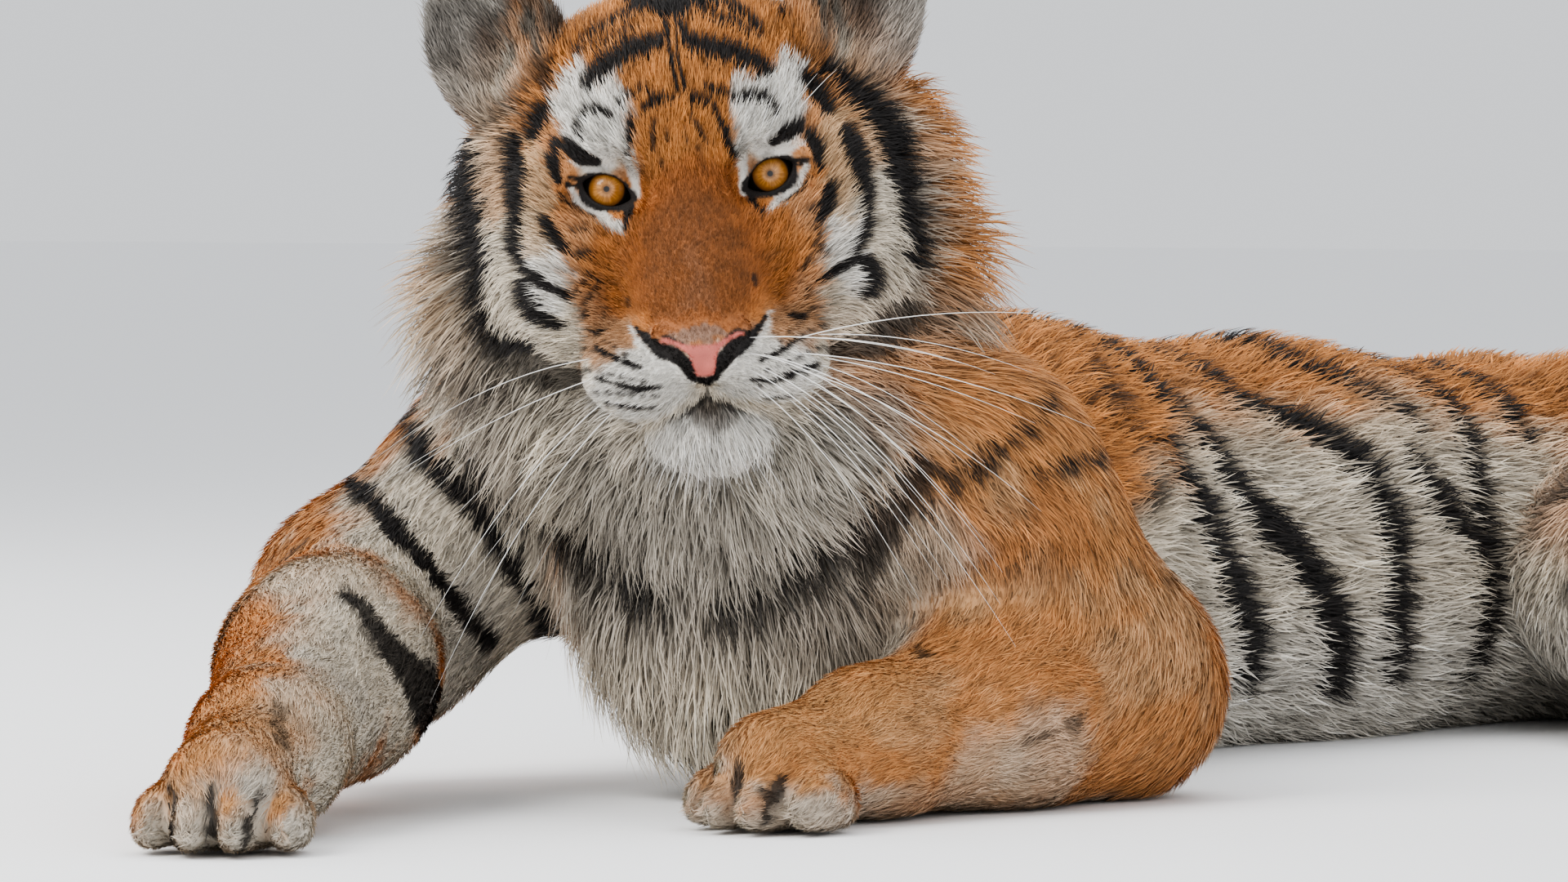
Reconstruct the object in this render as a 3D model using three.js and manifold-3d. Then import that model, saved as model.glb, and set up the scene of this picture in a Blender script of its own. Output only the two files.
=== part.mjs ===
// A Siberian tiger lying on its chest with its head up, life size, in millimetres, +Z up.
// The tiger faces -Y and its left side is +X. The whole animal is one smooth body field made of
// limbs and balls that melt into each other. Each named solid is the stretch of that body where
// its own forms lie nearer than any other part's, so neighbours meet along one thin, smooth cut.
import * as THREE from "three";
import { mergeVertices } from "three/addons/utils/BufferGeometryUtils.js";
import Module from "manifold-3d";

const wasm = await Module();
wasm.setup();

// ---- Driving dimensions ----
const EYE_LINE_HEIGHT = 470; // middle of the eyes above the floor
const EYE_SPACING = 122; // pupil to pupil
const EYE_RADIUS = 19;
const EYE_DEPTH = 14; // centre of each eye behind the plane of the pupils
const FACE_TURN = 35; // degrees that the head is turned to the tiger's left
const FACE_LIFT = 2; // degrees that the face looks up
const FACE_ROLL = 5.4; // degrees that the crown leans to the tiger's right
const EYES_MIDDLE = new THREE.Vector3(60, -330, EYE_LINE_HEIGHT);
const CUT = 0.6; // gap left between neighbouring solids
const SHARE = 7; // how far each part's share of the body reaches over its neighbours before the cuts
const FLOOR_MELT = 10; // how softly the underside rounds into its flats on the floor
const FAR = 1e4;

// ---- Frames: the head has its own, x to the tiger's left, y into the skull, z up the face ----
const degrees = THREE.MathUtils.degToRad;
const headFrame = new THREE.Matrix4()
  .makeTranslation(EYES_MIDDLE.x, EYES_MIDDLE.y, EYES_MIDDLE.z)
  .multiply(new THREE.Matrix4().makeRotationZ(degrees(FACE_TURN)))
  .multiply(new THREE.Matrix4().makeRotationX(degrees(-FACE_LIFT)))
  .multiply(new THREE.Matrix4().makeRotationY(degrees(-FACE_ROLL)));
const bodyFrame = new THREE.Matrix4();

const point = (p) => new THREE.Vector3(p[0], p[1], p[2]);

// ---- Forms ----
// A limb runs from a to b with a radius at each end, and melt is how far it blends into the rest.
function limb(part, frame, a, b, ra, rb, melt) {
  const from = point(a).applyMatrix4(frame);
  const along = point(b).applyMatrix4(frame).sub(from);
  const length2 = along.lengthSq();
  const distance = (x, y, z) => {
    const px = x - from.x;
    const py = y - from.y;
    const pz = z - from.z;
    const t = Math.min(1, Math.max(0, (px * along.x + py * along.y + pz * along.z) / length2));
    const s = t * t * (3 - 2 * t);
    return Math.hypot(px - t * along.x, py - t * along.y, pz - t * along.z) - ra - (rb - ra) * s;
  };
  const box = new THREE.Box3().setFromPoints([from, from.clone().add(along)]);
  return { part, melt, distance, box: box.expandByScalar(Math.max(ra, rb)) };
}

// A ball is an ellipsoid with its three half sizes along its frame, turned by degrees about z.
function ball(part, frame, centre, half, melt, turn = 0, tip = 0) {
  const place = frame
    .clone()
    .multiply(new THREE.Matrix4().makeTranslation(centre[0], centre[1], centre[2]))
    .multiply(new THREE.Matrix4().makeRotationZ(degrees(turn)))
    .multiply(new THREE.Matrix4().makeRotationX(degrees(tip)));
  const middle = new THREE.Vector3().setFromMatrixPosition(place);
  const e = place.clone().invert().elements;
  const distance = (x, y, z) => {
    const u = e[0] * x + e[4] * y + e[8] * z + e[12];
    const v = e[1] * x + e[5] * y + e[9] * z + e[13];
    const w = e[2] * x + e[6] * y + e[10] * z + e[14];
    const k0 = Math.hypot(u / half[0], v / half[1], w / half[2]);
    const k1 = Math.hypot(u / half[0] ** 2, v / half[1] ** 2, w / half[2] ** 2);
    return k0 < 1e-6 ? -Math.min(...half) : (k0 * (k0 - 1)) / k1;
  };
  const box = new THREE.Box3(middle, middle.clone());
  return { part, melt, distance, box: box.expandByScalar(Math.max(...half)) };
}

// The same form on both sides of a frame, x mirrored.
const pair = (make) => [1, -1].map(make);

// ---- The head: skull, face and the wide winter ruff ----
function headForms() {
  const h = headFrame;
  return [
    ball("head", h, [0, 80, 36], [116, 120, 106], 30),
    ball("head", h, [0, 96, 82], [122, 84, 72], 30),
    ball("head", h, [0, 26, 26], [84, 52, 62], 30),
    limb("head", h, [0, 14, -8], [0, -48, -94], 46, 50, 30),
    limb("head", h, [0, -40, -96], [0, -74, -122], 40, 31, 22),
    ...pair((s) => ball("head", h, [s * 44, -44, -137], [48, 45, 37], 16)),
    ball("head", h, [0, -34, -183], [46, 38, 36], 16),
    ball("head", h, [0, 20, -168], [78, 66, 52], 30),
    ...pair((s) => ball("head", h, [s * 82, 26, -66], [60, 68, 82], 34)),
    ...pair((s) => ball("head", h, [s * 88, 28, -2], [50, 50, 46], 26)),
    ...pair((s) => ball("head", h, [s * 112, 84, 44], [50, 44, 56], 36)),
    ...pair((s) => ball("head", h, [s * 116, 66, -46], [52, 56, 96], 40)),
    ball("head", h, [130, 114, 10], [88, 58, 86], 44),
    ball("head", h, [-112, 112, 4], [76, 58, 78], 44),
    ...pair((s) => ball("head", h, [s * 142, 112, -82], [96, 64, 102], 44)),
    ...pair((s) => ball("head", h, [s * 96, 92, -172], [98, 62, 78], 44)),
  ];
}

// Shallow sockets that let the front of each eyeball show.
function dentForms() {
  return pair((s) => ball("head", headFrame, [s * 61, -22, 0], [31, 26, 26], 12));
}

// ---- Ears: rounded cups, thin at the rim, hollow on the face side ----
const EAR = { root: [124, 72, 92], half: [56, 26, 68], splay: 24, cell: 18 };
function earForm(side) {
  const frame = headFrame
    .clone()
    .multiply(new THREE.Matrix4().makeTranslation(side * EAR.root[0], EAR.root[1], EAR.root[2]))
    .multiply(new THREE.Matrix4().makeRotationZ(degrees(side * 20)))
    .multiply(new THREE.Matrix4().makeRotationY(degrees(side * EAR.splay)));
  const shell = ball("ear", frame, [0, 0, 26], EAR.half, 0);
  const cup = ball("ear", frame, [0, -30, 35], [43, 36, 52], 0);
  return (x, y, z) => {
    const outer = shell.distance(x, y, z);
    const inner = -cup.distance(x, y, z);
    const h = Math.max(12 - Math.abs(outer - inner), 0) / 12;
    return Math.max(outer, inner) + h * h * 3;
  };
}

// ---- The trunk: a low arc from the neck to the rump, concave on the tiger's left ----
function trunkForms() {
  const b = bodyFrame;
  return [
    limb("neck", b, [44, -225, 300], [-10, -60, 250], 150, 160, 60),
    ball("neck", b, [26, -215, 176], [150, 95, 166], 60, 22),
    limb("trunk", b, [-12, -80, 180], [-62, 240, 164], 186, 192, 60),
    limb("trunk", b, [-62, 240, 164], [-28, 600, 148], 192, 182, 60),
    limb("trunk", b, [-28, 600, 148], [70, 930, 150], 182, 162, 60),
    ball("trunk", b, [-20, -30, 246], [150, 180, 120], 70, 14),
    ...pair((s) => ball("trunk", b, [62 + s * 84, 980, 160], [120, 160, 140], 60, -14)),
  ];
}

// ---- Legs, each from shoulder or hip to the toes ----
function pawForms(name, wrist, toes, size) {
  const from = point(wrist);
  const ahead = point(toes).sub(from);
  const heading = THREE.MathUtils.radToDeg(Math.atan2(ahead.x, -ahead.y));
  const frame = new THREE.Matrix4()
    .makeTranslation(toes[0], toes[1], 0)
    .multiply(new THREE.Matrix4().makeRotationZ(degrees(heading)));
  const forms = [limb(name, bodyFrame, wrist, [toes[0], toes[1], size * 0.72], size * 0.88, size * 0.8, 30)];
  forms.push(ball(name, frame, [0, 0, size * 0.46], [size * 1.06, size * 0.86, size * 0.66], size * 0.4));
  [-1.5, -0.5, 0.5, 1.5].forEach((k) => {
    const back = Math.abs(k) > 1 ? 0.34 : 0;
    const spot = [k * size * 0.52, (back - 0.46) * size, size * 0.32];
    forms.push(ball(name, frame, spot, [size * 0.34, size * 0.62, size * 0.5], size * 0.26));
  });
  return forms;
}

function foreleg(name, shoulder, elbow, wrist, toes) {
  const paw = "forepaw_" + name;
  const leg = "foreleg_" + name;
  const mid = point(elbow).lerp(point(wrist), 0.45).toArray();
  return [
    limb(leg, bodyFrame, shoulder, elbow, 118, 92, 60),
    limb(leg, bodyFrame, elbow, mid, 94, 84, 50),
    limb(leg, bodyFrame, mid, wrist, 84, 64, 40),
    ...pawForms(paw, wrist, toes, 62),
  ];
}

function hindleg(name, hip, knee, hock, heel, toes) {
  const leg = "hindleg_" + name;
  const paw = "hindpaw_" + name;
  return [
    limb(leg, bodyFrame, hip, knee, 150, 104, 60),
    limb(leg, bodyFrame, knee, hock, 96, 56, 50),
    ...pawForms(paw, heel, toes, 56),
  ];
}

function legForms() {
  return [
    ...foreleg("left", [170, -130, 240], [236, -34, 86], [208, -300, 56], [202, -420, 60]),
    ...foreleg("right", [-190, -190, 236], [-246, -320, 140], [-80, -654, 62], [-14, -784, 60]),
    ...hindleg("left", [156, 960, 160], [272, 770, 134], [300, 1010, 44], [320, 905, 40], [336, 650, 50]),
    ...hindleg("right", [-40, 980, 160], [-186, 800, 134], [-170, 1040, 44], [-196, 940, 40], [-246, 690, 50]),
  ];
}

// ---- The tail, laid on the floor round the left haunch, in three lengths ----
function tailForms() {
  const curve = new THREE.CatmullRomCurve3(
    [
      [128, 1090, 190],
      [190, 1190, 80],
      [300, 1226, 36],
      [420, 1150, 29],
      [478, 1000, 28],
      [486, 840, 28],
      [446, 700, 27],
    ].map(point),
  );
  const steps = 12;
  const names = ["tail_root", "tail_middle", "tail_tip"];
  return Array.from({ length: steps }, (_, i) => {
    const a = curve.getPointAt(i / steps);
    const b = curve.getPointAt((i + 1) / steps);
    const radius = (t) => 62 - 24 * Math.min(1, t * 2.5) ;
    const name = names[Math.min(2, Math.floor((i * 3) / steps))];
    return limb(name, bodyFrame, a.toArray(), b.toArray(), radius(i / steps), radius((i + 1) / steps), 14);
  });
}

const forms = [...trunkForms(), ...legForms(), ...tailForms(), ...headForms()];
const dents = dentForms();
const parts = [...new Set(forms.map((f) => f.part))];

// ---- Fields ----
function melted(a, b, melt) {
  const h = Math.max(melt - Math.abs(a - b), 0) / melt;
  return Math.min(a, b) - (h * h * melt) / 4;
}

function bodyField(list) {
  return (x, y, z) => {
    let d = FAR;
    for (const f of list) d = melted(d, f.distance(x, y, z), f.melt);
    for (const f of dents) d = -melted(-d, f.distance(x, y, z), f.melt);
    return -melted(-d, z, FLOOR_MELT);
  };
}

// Below zero where the part's own forms are nearer than every other part's.
function ownership(name, list) {
  return (x, y, z) => {
    let own = FAR;
    let other = FAR;
    for (const f of list) {
      const d = f.distance(x, y, z);
      if (f.part === name) own = melted(own, d, 30);
      else other = melted(other, d, 30);
    }
    return (own - other) / 2;
  };
}

// ---- Polygons: one vertex in each cell that the surface crosses, one square per crossed edge ----
const CORNERS = [0, 1, 2, 3, 4, 5, 6, 7].map((c) => [c & 1, (c >> 1) & 1, c >> 2]);
const EDGES = [1, 2, 4].flatMap((bit) => [0, 1, 2, 3, 4, 5, 6, 7].filter((c) => !(c & bit)).map((c) => [c, c | bit]));
// The two diagonals of each face of a cell: a pair of corners, then the other pair.
const DIAGONALS = [
  [1, 2, 4],
  [2, 4, 1],
  [1, 4, 2],
].flatMap(([u, v, w]) =>
  [0, w].flatMap((c) => [
    [c, c | u | v, c | u, c | v],
    [c | u, c | v, c, c | u | v],
  ]),
);
function surfaceOf(field, low, high, cell) {
  const size = [0, 1, 2].map((k) => Math.ceil((high[k] - low[k]) / cell) + 3);
  const at = (k, i) => low[k] + (i - 1) * cell;
  const values = new Float32Array(size[0] * size[1] * size[2]);
  const index = (i, j, k) => i + size[0] * (j + size[1] * k);
  for (let k = 0; k < size[2]; k++)
    for (let j = 0; j < size[1]; j++)
      for (let i = 0; i < size[0]; i++) {
        const rim = i < 1 || j < 1 || k < 1 || i > size[0] - 2 || j > size[1] - 2 || k > size[2] - 2;
        values[index(i, j, k)] = rim ? cell : field(at(0, i), at(1, j), at(2, k));
      }
  const positions = [];
  const cells = new Map();
  // The patches of surface in one cell. Corners inside join along the cell's edges, corners outside
  // also join across a face, and each pair of such groups has one patch with one vertex.
  const patchesOf = (i, j, k) => {
    const key = index(i, j, k);
    if (cells.has(key)) return cells.get(key);
    const value = CORNERS.map((c) => values[index(i + c[0], j + c[1], k + c[2])]);
    const group = [0, 1, 2, 3, 4, 5, 6, 7];
    const join = (a, b) => {
      const from = group[a];
      const to = group[b];
      group.forEach((g, n) => (group[n] = g === from ? to : g));
    };
    for (const [a, b] of EDGES) if (value[a] < 0 === value[b] < 0) join(a, b);
    for (const [a, b, c, d] of DIAGONALS)
      if (value[a] >= 0 && value[b] >= 0 && value[c] < 0 && value[d] < 0) join(a, b);
    const sums = new Map();
    for (const [a, b] of EDGES) {
      if (value[a] < 0 === value[b] < 0) continue;
      const patch = value[a] < 0 ? group[a] * 8 + group[b] : group[b] * 8 + group[a];
      const sum = sums.get(patch) ?? [0, 0, 0, 0];
      const t = value[a] / (value[a] - value[b]);
      for (let m = 0; m < 3; m++) sum[m] += CORNERS[a][m] * (1 - t) + CORNERS[b][m] * t;
      sum[3]++;
      sums.set(patch, sum);
    }
    const vertices = new Map();
    for (const [patch, sum] of sums) {
      positions.push(...[i, j, k].map((v, m) => at(m, v) + (cell * sum[m]) / sum[3]));
      vertices.set(patch, positions.length / 3 - 1);
    }
    const made = { group, vertices };
    cells.set(key, made);
    return made;
  };
  const triangles = [];
  for (let k = 0; k < size[2] - 1; k++)
    for (let j = 0; j < size[1] - 1; j++)
      for (let i = 0; i < size[0] - 1; i++) {
        const here = values[index(i, j, k)] < 0;
        for (let axis = 0; axis < 3; axis++) {
          if ([i, j, k].some((v, m) => m !== axis && v < 1)) continue;
          const step = [0, 1, 2].map((m) => (m === axis ? 1 : 0));
          if (values[index(i + step[0], j + step[1], k + step[2])] < 0 === here) continue;
          const u = 1 << ((axis + 1) % 3);
          const v = 1 << ((axis + 2) % 3);
          const quad = [u | v, v, 0, u].map((back) => {
            const { group, vertices } = patchesOf(i - (back & 1), j - ((back >> 1) & 1), k - (back >> 2));
            const [near, far] = [group[back], group[back | (1 << axis)]];
            return vertices.get(here ? near * 8 + far : far * 8 + near);
          });
          const [a, b, c, d] = here ? quad : quad.reverse();
          triangles.push(a, b, c, a, c, d);
        }
      }
  const geometry = new THREE.BufferGeometry();
  geometry.setAttribute("position", new THREE.Float32BufferAttribute(positions, 3));
  geometry.setIndex(triangles);
  return geometry;
}

function closedSolid(geometry) {
  return new wasm.Manifold(
    new wasm.Mesh({
      numProp: 3,
      vertProperties: new Float32Array(geometry.attributes.position.array),
      triVerts: new Uint32Array(geometry.index.array),
    }),
  );
}

// A block with a box's sides, as a field.
function blockField(box) {
  const centre = box.getCenter(new THREE.Vector3());
  const half = box.getSize(new THREE.Vector3()).divideScalar(2);
  return (x, y, z) =>
    Math.max(Math.abs(x - centre.x) - half.x, Math.abs(y - centre.y) - half.y, Math.abs(z - centre.z) - half.z);
}

// The solid of a field inside a box. In a few rounds each corner moves along the field's slope until
// it lies on the surface.
function solidIn(field, box, cell) {
  const block = blockField(box);
  const f = (x, y, z) => Math.max(field(x, y, z), block(x, y, z));
  const outer = box.clone().expandByScalar(cell);
  const surface = surfaceOf(f, outer.min.toArray(), outer.max.toArray(), cell);
  const p = surface.attributes.position.array;
  const slope = new THREE.Vector3();
  for (let n = 0; n < p.length; n += 3)
    for (let round = 0; round < 3; round++) {
      const [x, y, z] = p.subarray(n, n + 3);
      slope.set(f(x + 1, y, z) - f(x - 1, y, z), f(x, y + 1, z) - f(x, y - 1, z), f(x, y, z + 1) - f(x, y, z - 1));
      slope.divideScalar(2);
      const need = -f(x, y, z) / Math.max(slope.lengthSq(), 0.2);
      slope.multiplyScalar(THREE.MathUtils.clamp(need, -cell / 6, cell / 6));
      p.set([x + slope.x, y + slope.y, z + slope.z], n);
    }
  return closedSolid(surface);
}

// A solid a little larger all round: the union of itself and four copies, each shifted towards one
// corner of a tetrahedron.
const CORNER_SHIFTS = [
  [0, 0, 0],
  [1, 1, 1],
  [1, -1, -1],
  [-1, 1, -1],
  [-1, -1, 1],
];
function grown(solid) {
  const copies = CORNER_SHIFTS.map((shift) => solid.translate(shift.map((v) => v * CUT)));
  return copies.reduce((all, copy) => all.add(copy));
}

function geometryOf(solid) {
  const mesh = solid.getMesh();
  const stride = mesh.numProp;
  const positions = new Float32Array(mesh.numVert * 3);
  for (let i = 0; i < mesh.numVert; i++)
    positions.set(mesh.vertProperties.subarray(i * stride, i * stride + 3), i * 3);
  const geometry = new THREE.BufferGeometry();
  geometry.setAttribute("position", new THREE.BufferAttribute(positions, 3));
  geometry.setIndex(new THREE.BufferAttribute(new Uint32Array(mesh.triVerts), 1));
  return geometry;
}

// The largest single piece of a solid, leaving out crumbs.
function largest(solid) {
  return solid.decompose().reduce((best, s) => (s.volume() > best.volume() ? s : best));
}

// ---- Finishes ----
const finish = (color, roughness) => new THREE.MeshStandardMaterial({ color, roughness, metalness: 0 });
const ORANGE_COAT = finish(0xb5692e, 0.85);
const PALE_COAT = finish(0xcfc6b6, 0.85);
const EYE_GLASS = finish(0xb9772a, 0.15);

// Cell size of each part's faceted surface: fine on the face and paws, coarse on the trunk.
const CELLS = { head: 28, neck: 60, trunk: 76, tail: 41, foreleg: 58, hindleg: 66, forepaw: 28, hindpaw: 30 };
const CUT_CELLS = 2; // how much coarser the cuts between parts are than the coat
const cellOf = (name) => CELLS[name.split("_")[0]];

// ---- The animal ----
// The box round the forms of one part.
function boxOf(name) {
  const box = new THREE.Box3();
  for (const f of forms) if (f.part === name) box.union(f.box);
  return box;
}

// The forms that come near a box, which are all that shape the body inside it.
const formsNear = (box) => forms.filter((f) => f.box.clone().expandByScalar(f.melt).intersectsBox(box));

const tiger = new THREE.Group();

function addMesh(name, solid, material) {
  const mesh = new THREE.Mesh(geometryOf(solid), material);
  mesh.name = name;
  tiger.add(mesh);
}

function eyeball(side, radius) {
  const centre = point([(side * EYE_SPACING) / 2, EYE_DEPTH, 0]).applyMatrix4(headFrame);
  const sphere = new THREE.SphereGeometry(radius, 12, 8).translate(centre.x, centre.y, centre.z);
  sphere.deleteAttribute("normal");
  sphere.deleteAttribute("uv");
  return closedSolid(mergeVertices(sphere, 1e-3));
}

const sides = { left: 1, right: -1 };
const earBox = (side) => {
  const root = point([side * EAR.root[0], EAR.root[1], EAR.root[2] + 20]).applyMatrix4(headFrame);
  return new THREE.Box3().setFromCenterAndSize(root, new THREE.Vector3(240, 240, 240));
};
const earSolid = (side) => solidIn(earForm(side), earBox(side), EAR.cell);

// Each part is the body inside its share, less the shares of the parts cut before it, and nothing of
// it reaches below the floor.
const taken = [];
for (const name of parts) {
  const cell = cellOf(name);
  const box = boxOf(name).expandByScalar(cell);
  const near = formsNear(box);
  const own = ownership(name, near);
  const share = solidIn((x, y, z) => own(x, y, z) - SHARE, box, cell * CUT_CELLS);
  const around = box.clone().expandByScalar(cell);
  let solid = solidIn(bodyField(near), around, cell).intersect(share);
  for (const other of taken) if (other.box.intersectsBox(box)) solid = solid.subtract(other.share);
  taken.push({ box, share: grown(share) });
  if (name === "head") {
    for (const side of Object.values(sides))
      solid = solid
        .subtract(eyeball(side, EYE_RADIUS + CUT))
        .subtract(grown(earSolid(side)));
  }
  const standing = largest(solid).trimByPlane([0, 0, 1], 0);
  addMesh(name, standing, name === "neck" ? PALE_COAT : ORANGE_COAT);
}

for (const [name, side] of Object.entries(sides)) {
  addMesh("ear_" + name, earSolid(side), ORANGE_COAT);
  addMesh("eye_" + name, eyeball(side, EYE_RADIUS), EYE_GLASS);
}

// The origin is on the floor, under the middle of the animal's box.
const box = new THREE.Box3().setFromObject(tiger);
const middle = box.getCenter(new THREE.Vector3());
tiger.position.set(-middle.x, -middle.y, -box.min.z);

export default tiger;
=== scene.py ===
# %% [markdown]
# # A Siberian tiger, life size, as a still museum model
#
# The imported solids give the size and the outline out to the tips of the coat. Here one skin is made
# a little inside them, and the coat is laid over it as many thin blades of hair. Everything is in
# metres in the row's frame: -Y is the way the body faces, +X its left, and +Z up.

import math

import bpy
import numpy as np
from mathutils import Matrix, Vector


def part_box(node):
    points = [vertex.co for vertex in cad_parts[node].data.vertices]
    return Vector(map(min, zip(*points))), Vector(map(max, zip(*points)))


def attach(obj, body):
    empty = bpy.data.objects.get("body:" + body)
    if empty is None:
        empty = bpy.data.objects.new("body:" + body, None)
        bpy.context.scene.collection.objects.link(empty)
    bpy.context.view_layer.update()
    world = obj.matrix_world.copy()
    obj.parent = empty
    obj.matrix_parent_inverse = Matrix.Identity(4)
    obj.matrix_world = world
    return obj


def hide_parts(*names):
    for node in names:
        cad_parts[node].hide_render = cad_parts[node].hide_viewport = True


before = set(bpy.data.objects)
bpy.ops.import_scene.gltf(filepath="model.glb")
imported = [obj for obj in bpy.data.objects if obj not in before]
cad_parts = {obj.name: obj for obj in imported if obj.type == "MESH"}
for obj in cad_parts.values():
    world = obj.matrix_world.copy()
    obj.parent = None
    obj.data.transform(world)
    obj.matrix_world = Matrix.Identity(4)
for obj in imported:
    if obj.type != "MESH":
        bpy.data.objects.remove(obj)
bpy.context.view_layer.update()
rng = np.random.default_rng(7)
MM = 0.001

# %% [markdown]
# ## Where things are
#
# The body is planned in millimetres, and its plan is slid onto the frame by the two eyes, which are
# the same balls in both. The head has a frame of its own: x to the tiger's left, y into the skull
# and z up the face, with its origin between the pupils.

# %% Plan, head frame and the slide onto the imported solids
EYE_SPACING = 122
EYE_RADIUS = 19
EYE_DEPTH = 14
EYES_MIDDLE = (60, -330, 470)
FACE_TURN, FACE_LIFT, FACE_ROLL = 35, 2, 5.4
FLOOR_MELT = 10

head_frame = (
    Matrix.Translation(EYES_MIDDLE)
    @ Matrix.Rotation(math.radians(FACE_TURN), 4, "Z")
    @ Matrix.Rotation(math.radians(-FACE_LIFT), 4, "X")
    @ Matrix.Rotation(math.radians(-FACE_ROLL), 4, "Y")
)
plan_frame = Matrix.Identity(4)


def box_middle(node):
    low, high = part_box(node)
    return (low + high) / 2


eyes_middle = (box_middle("eye_left") + box_middle("eye_right")) / 2
slide = np.array(eyes_middle) / MM - np.array(head_frame @ Vector((0, EYE_DEPTH, 0)))
head_axes = np.array(head_frame.to_3x3())
head_origin = np.array(EYES_MIDDLE, float)


def to_head(p):
    """Plan points in the head's own frame."""
    return (p - head_origin) @ head_axes


def from_head(p):
    """Points of the head's frame in the plan."""
    return np.asarray(p, float) @ head_axes.T + head_origin


def to_row(p):
    """Plan millimetres to the row's metres."""
    return (np.asarray(p) + slide) * MM


print("plan slides by", slide.round(1), "mm")

# %% [markdown]
# ## The body as melting forms
#
# Flesh has few edges, so a mesh pushed together from boxes would look carved. A body is easier to
# describe as limbs and balls whose distance fields melt into each other. The forms are the ones the
# solids were made from. Each also says how deep its coat is, so the skin lies that far inside,
# how long its hair is and which way that hair lies.


# %% Limbs and balls
class Form:
    def __init__(self, kind, distance, low, high, melt, coat, hair, lie):
        self.kind, self.distance, self.melt = kind, distance, melt
        self.coat, self.hair, self.lie = coat, hair, np.asarray(lie, float)
        reach = melt + 30
        self.low, self.high = np.asarray(low) - reach, np.asarray(high) + reach


def placed(where, p):
    return np.array(where @ Vector(p))


def seen_from(e, x, y, z):
    """Coordinates in a frame, where e is the inverse of the frame's matrix."""
    return [e[k, 0] * x + e[k, 1] * y + e[k, 2] * z + e[k, 3] for k in range(3)]


def limb(kind, where, a, b, ra, rb, melt, coat=12, hair=24, lie=None):
    """A round limb from a to b with a radius at each end."""
    a, b = placed(where, a), placed(where, b)
    ab = b - a
    length2 = ab @ ab

    def distance(x, y, z):
        px, py, pz = x - a[0], y - a[1], z - a[2]
        t = np.clip((px * ab[0] + py * ab[1] + pz * ab[2]) / length2, 0, 1)
        s = t * t * (3 - 2 * t)
        gap = np.sqrt((px - t * ab[0]) ** 2 + (py - t * ab[1]) ** 2 + (pz - t * ab[2]) ** 2)
        return gap - ra - (rb - ra) * s

    r = max(ra, rb)
    lie = ab / math.sqrt(length2) if lie is None else lie
    return Form(kind, distance, np.minimum(a, b) - r, np.maximum(a, b) + r, melt, coat, hair, lie)


def ball(kind, where, centre, half, melt, turn=0, coat=12, hair=24, lie=(0, 0.7, -0.7)):
    """An ellipsoid with three half sizes along its frame, turned by degrees about z."""
    own = where @ Matrix.Translation(centre) @ Matrix.Rotation(math.radians(turn), 4, "Z")
    e = np.array(own.inverted())

    def distance(x, y, z):
        u, v, w = seen_from(e, x, y, z)
        k0 = np.sqrt((u / half[0]) ** 2 + (v / half[1]) ** 2 + (w / half[2]) ** 2) + 1e-9
        k1 = np.sqrt((u / half[0] ** 2) ** 2 + (v / half[1] ** 2) ** 2 + (w / half[2] ** 2) ** 2)
        return k0 * (k0 - 1) / (k1 + 1e-9)

    middle, r = placed(where, centre), max(half)
    return Form(kind, distance, middle - r, middle + r, melt, coat, hair, lie)


def pair(make):
    return [make(1), make(-1)]

# %% [markdown]
# The head is a round skull with a broad short muzzle, and round it stands the wide winter ruff.

# %% Head, neck and trunk
head_forms = [
    ball("head", head_frame, [0, 80, 36], [116, 120, 106], 30, coat=11, hair=20),
    ball("head", head_frame, [0, 96, 82], [122, 84, 72], 30, coat=11, hair=24),
    ball("head", head_frame, [0, 26, 26], [84, 52, 62], 30, coat=5, hair=10),
    limb("head", head_frame, [0, 14, -8], [0, -48, -94], 46, 50, 30, coat=3, hair=5),
    limb("head", head_frame, [0, -40, -96], [0, -74, -122], 40, 31, 22, coat=2, hair=4),
    *pair(lambda s: ball("head", head_frame, [s * 44, -44, -137], [48, 45, 37], 16, coat=4, hair=8)),
    ball("head", head_frame, [0, -34, -183], [46, 38, 36], 16, coat=8, hair=22),
    ball("head", head_frame, [0, 20, -168], [78, 66, 52], 30, coat=16, hair=34),
    *pair(lambda s: ball("head", head_frame, [s * 82, 26, -66], [60, 68, 82], 34, coat=10, hair=18)),
    *pair(lambda s: ball("head", head_frame, [s * 88, 28, -2], [50, 50, 46], 26, coat=8, hair=14)),
    *pair(lambda s: ball("head", head_frame, [s * 112, 84, 44], [50, 44, 56], 36, coat=14, hair=26)),
    *pair(lambda s: ball("head", head_frame, [s * 116, 66, -46], [52, 56, 96], 40, coat=18, hair=32)),
    ball("head", head_frame, [130, 114, 10], [88, 58, 86], 44, coat=26, hair=46),
    ball("head", head_frame, [-112, 112, 4], [76, 58, 78], 44, coat=22, hair=40),
    *pair(lambda s: ball("head", head_frame, [s * 142, 112, -82], [96, 64, 102], 44, coat=34, hair=62)),
    *pair(lambda s: ball("head", head_frame, [s * 96, 92, -172], [98, 62, 78], 44, coat=34, hair=62)),
]

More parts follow.
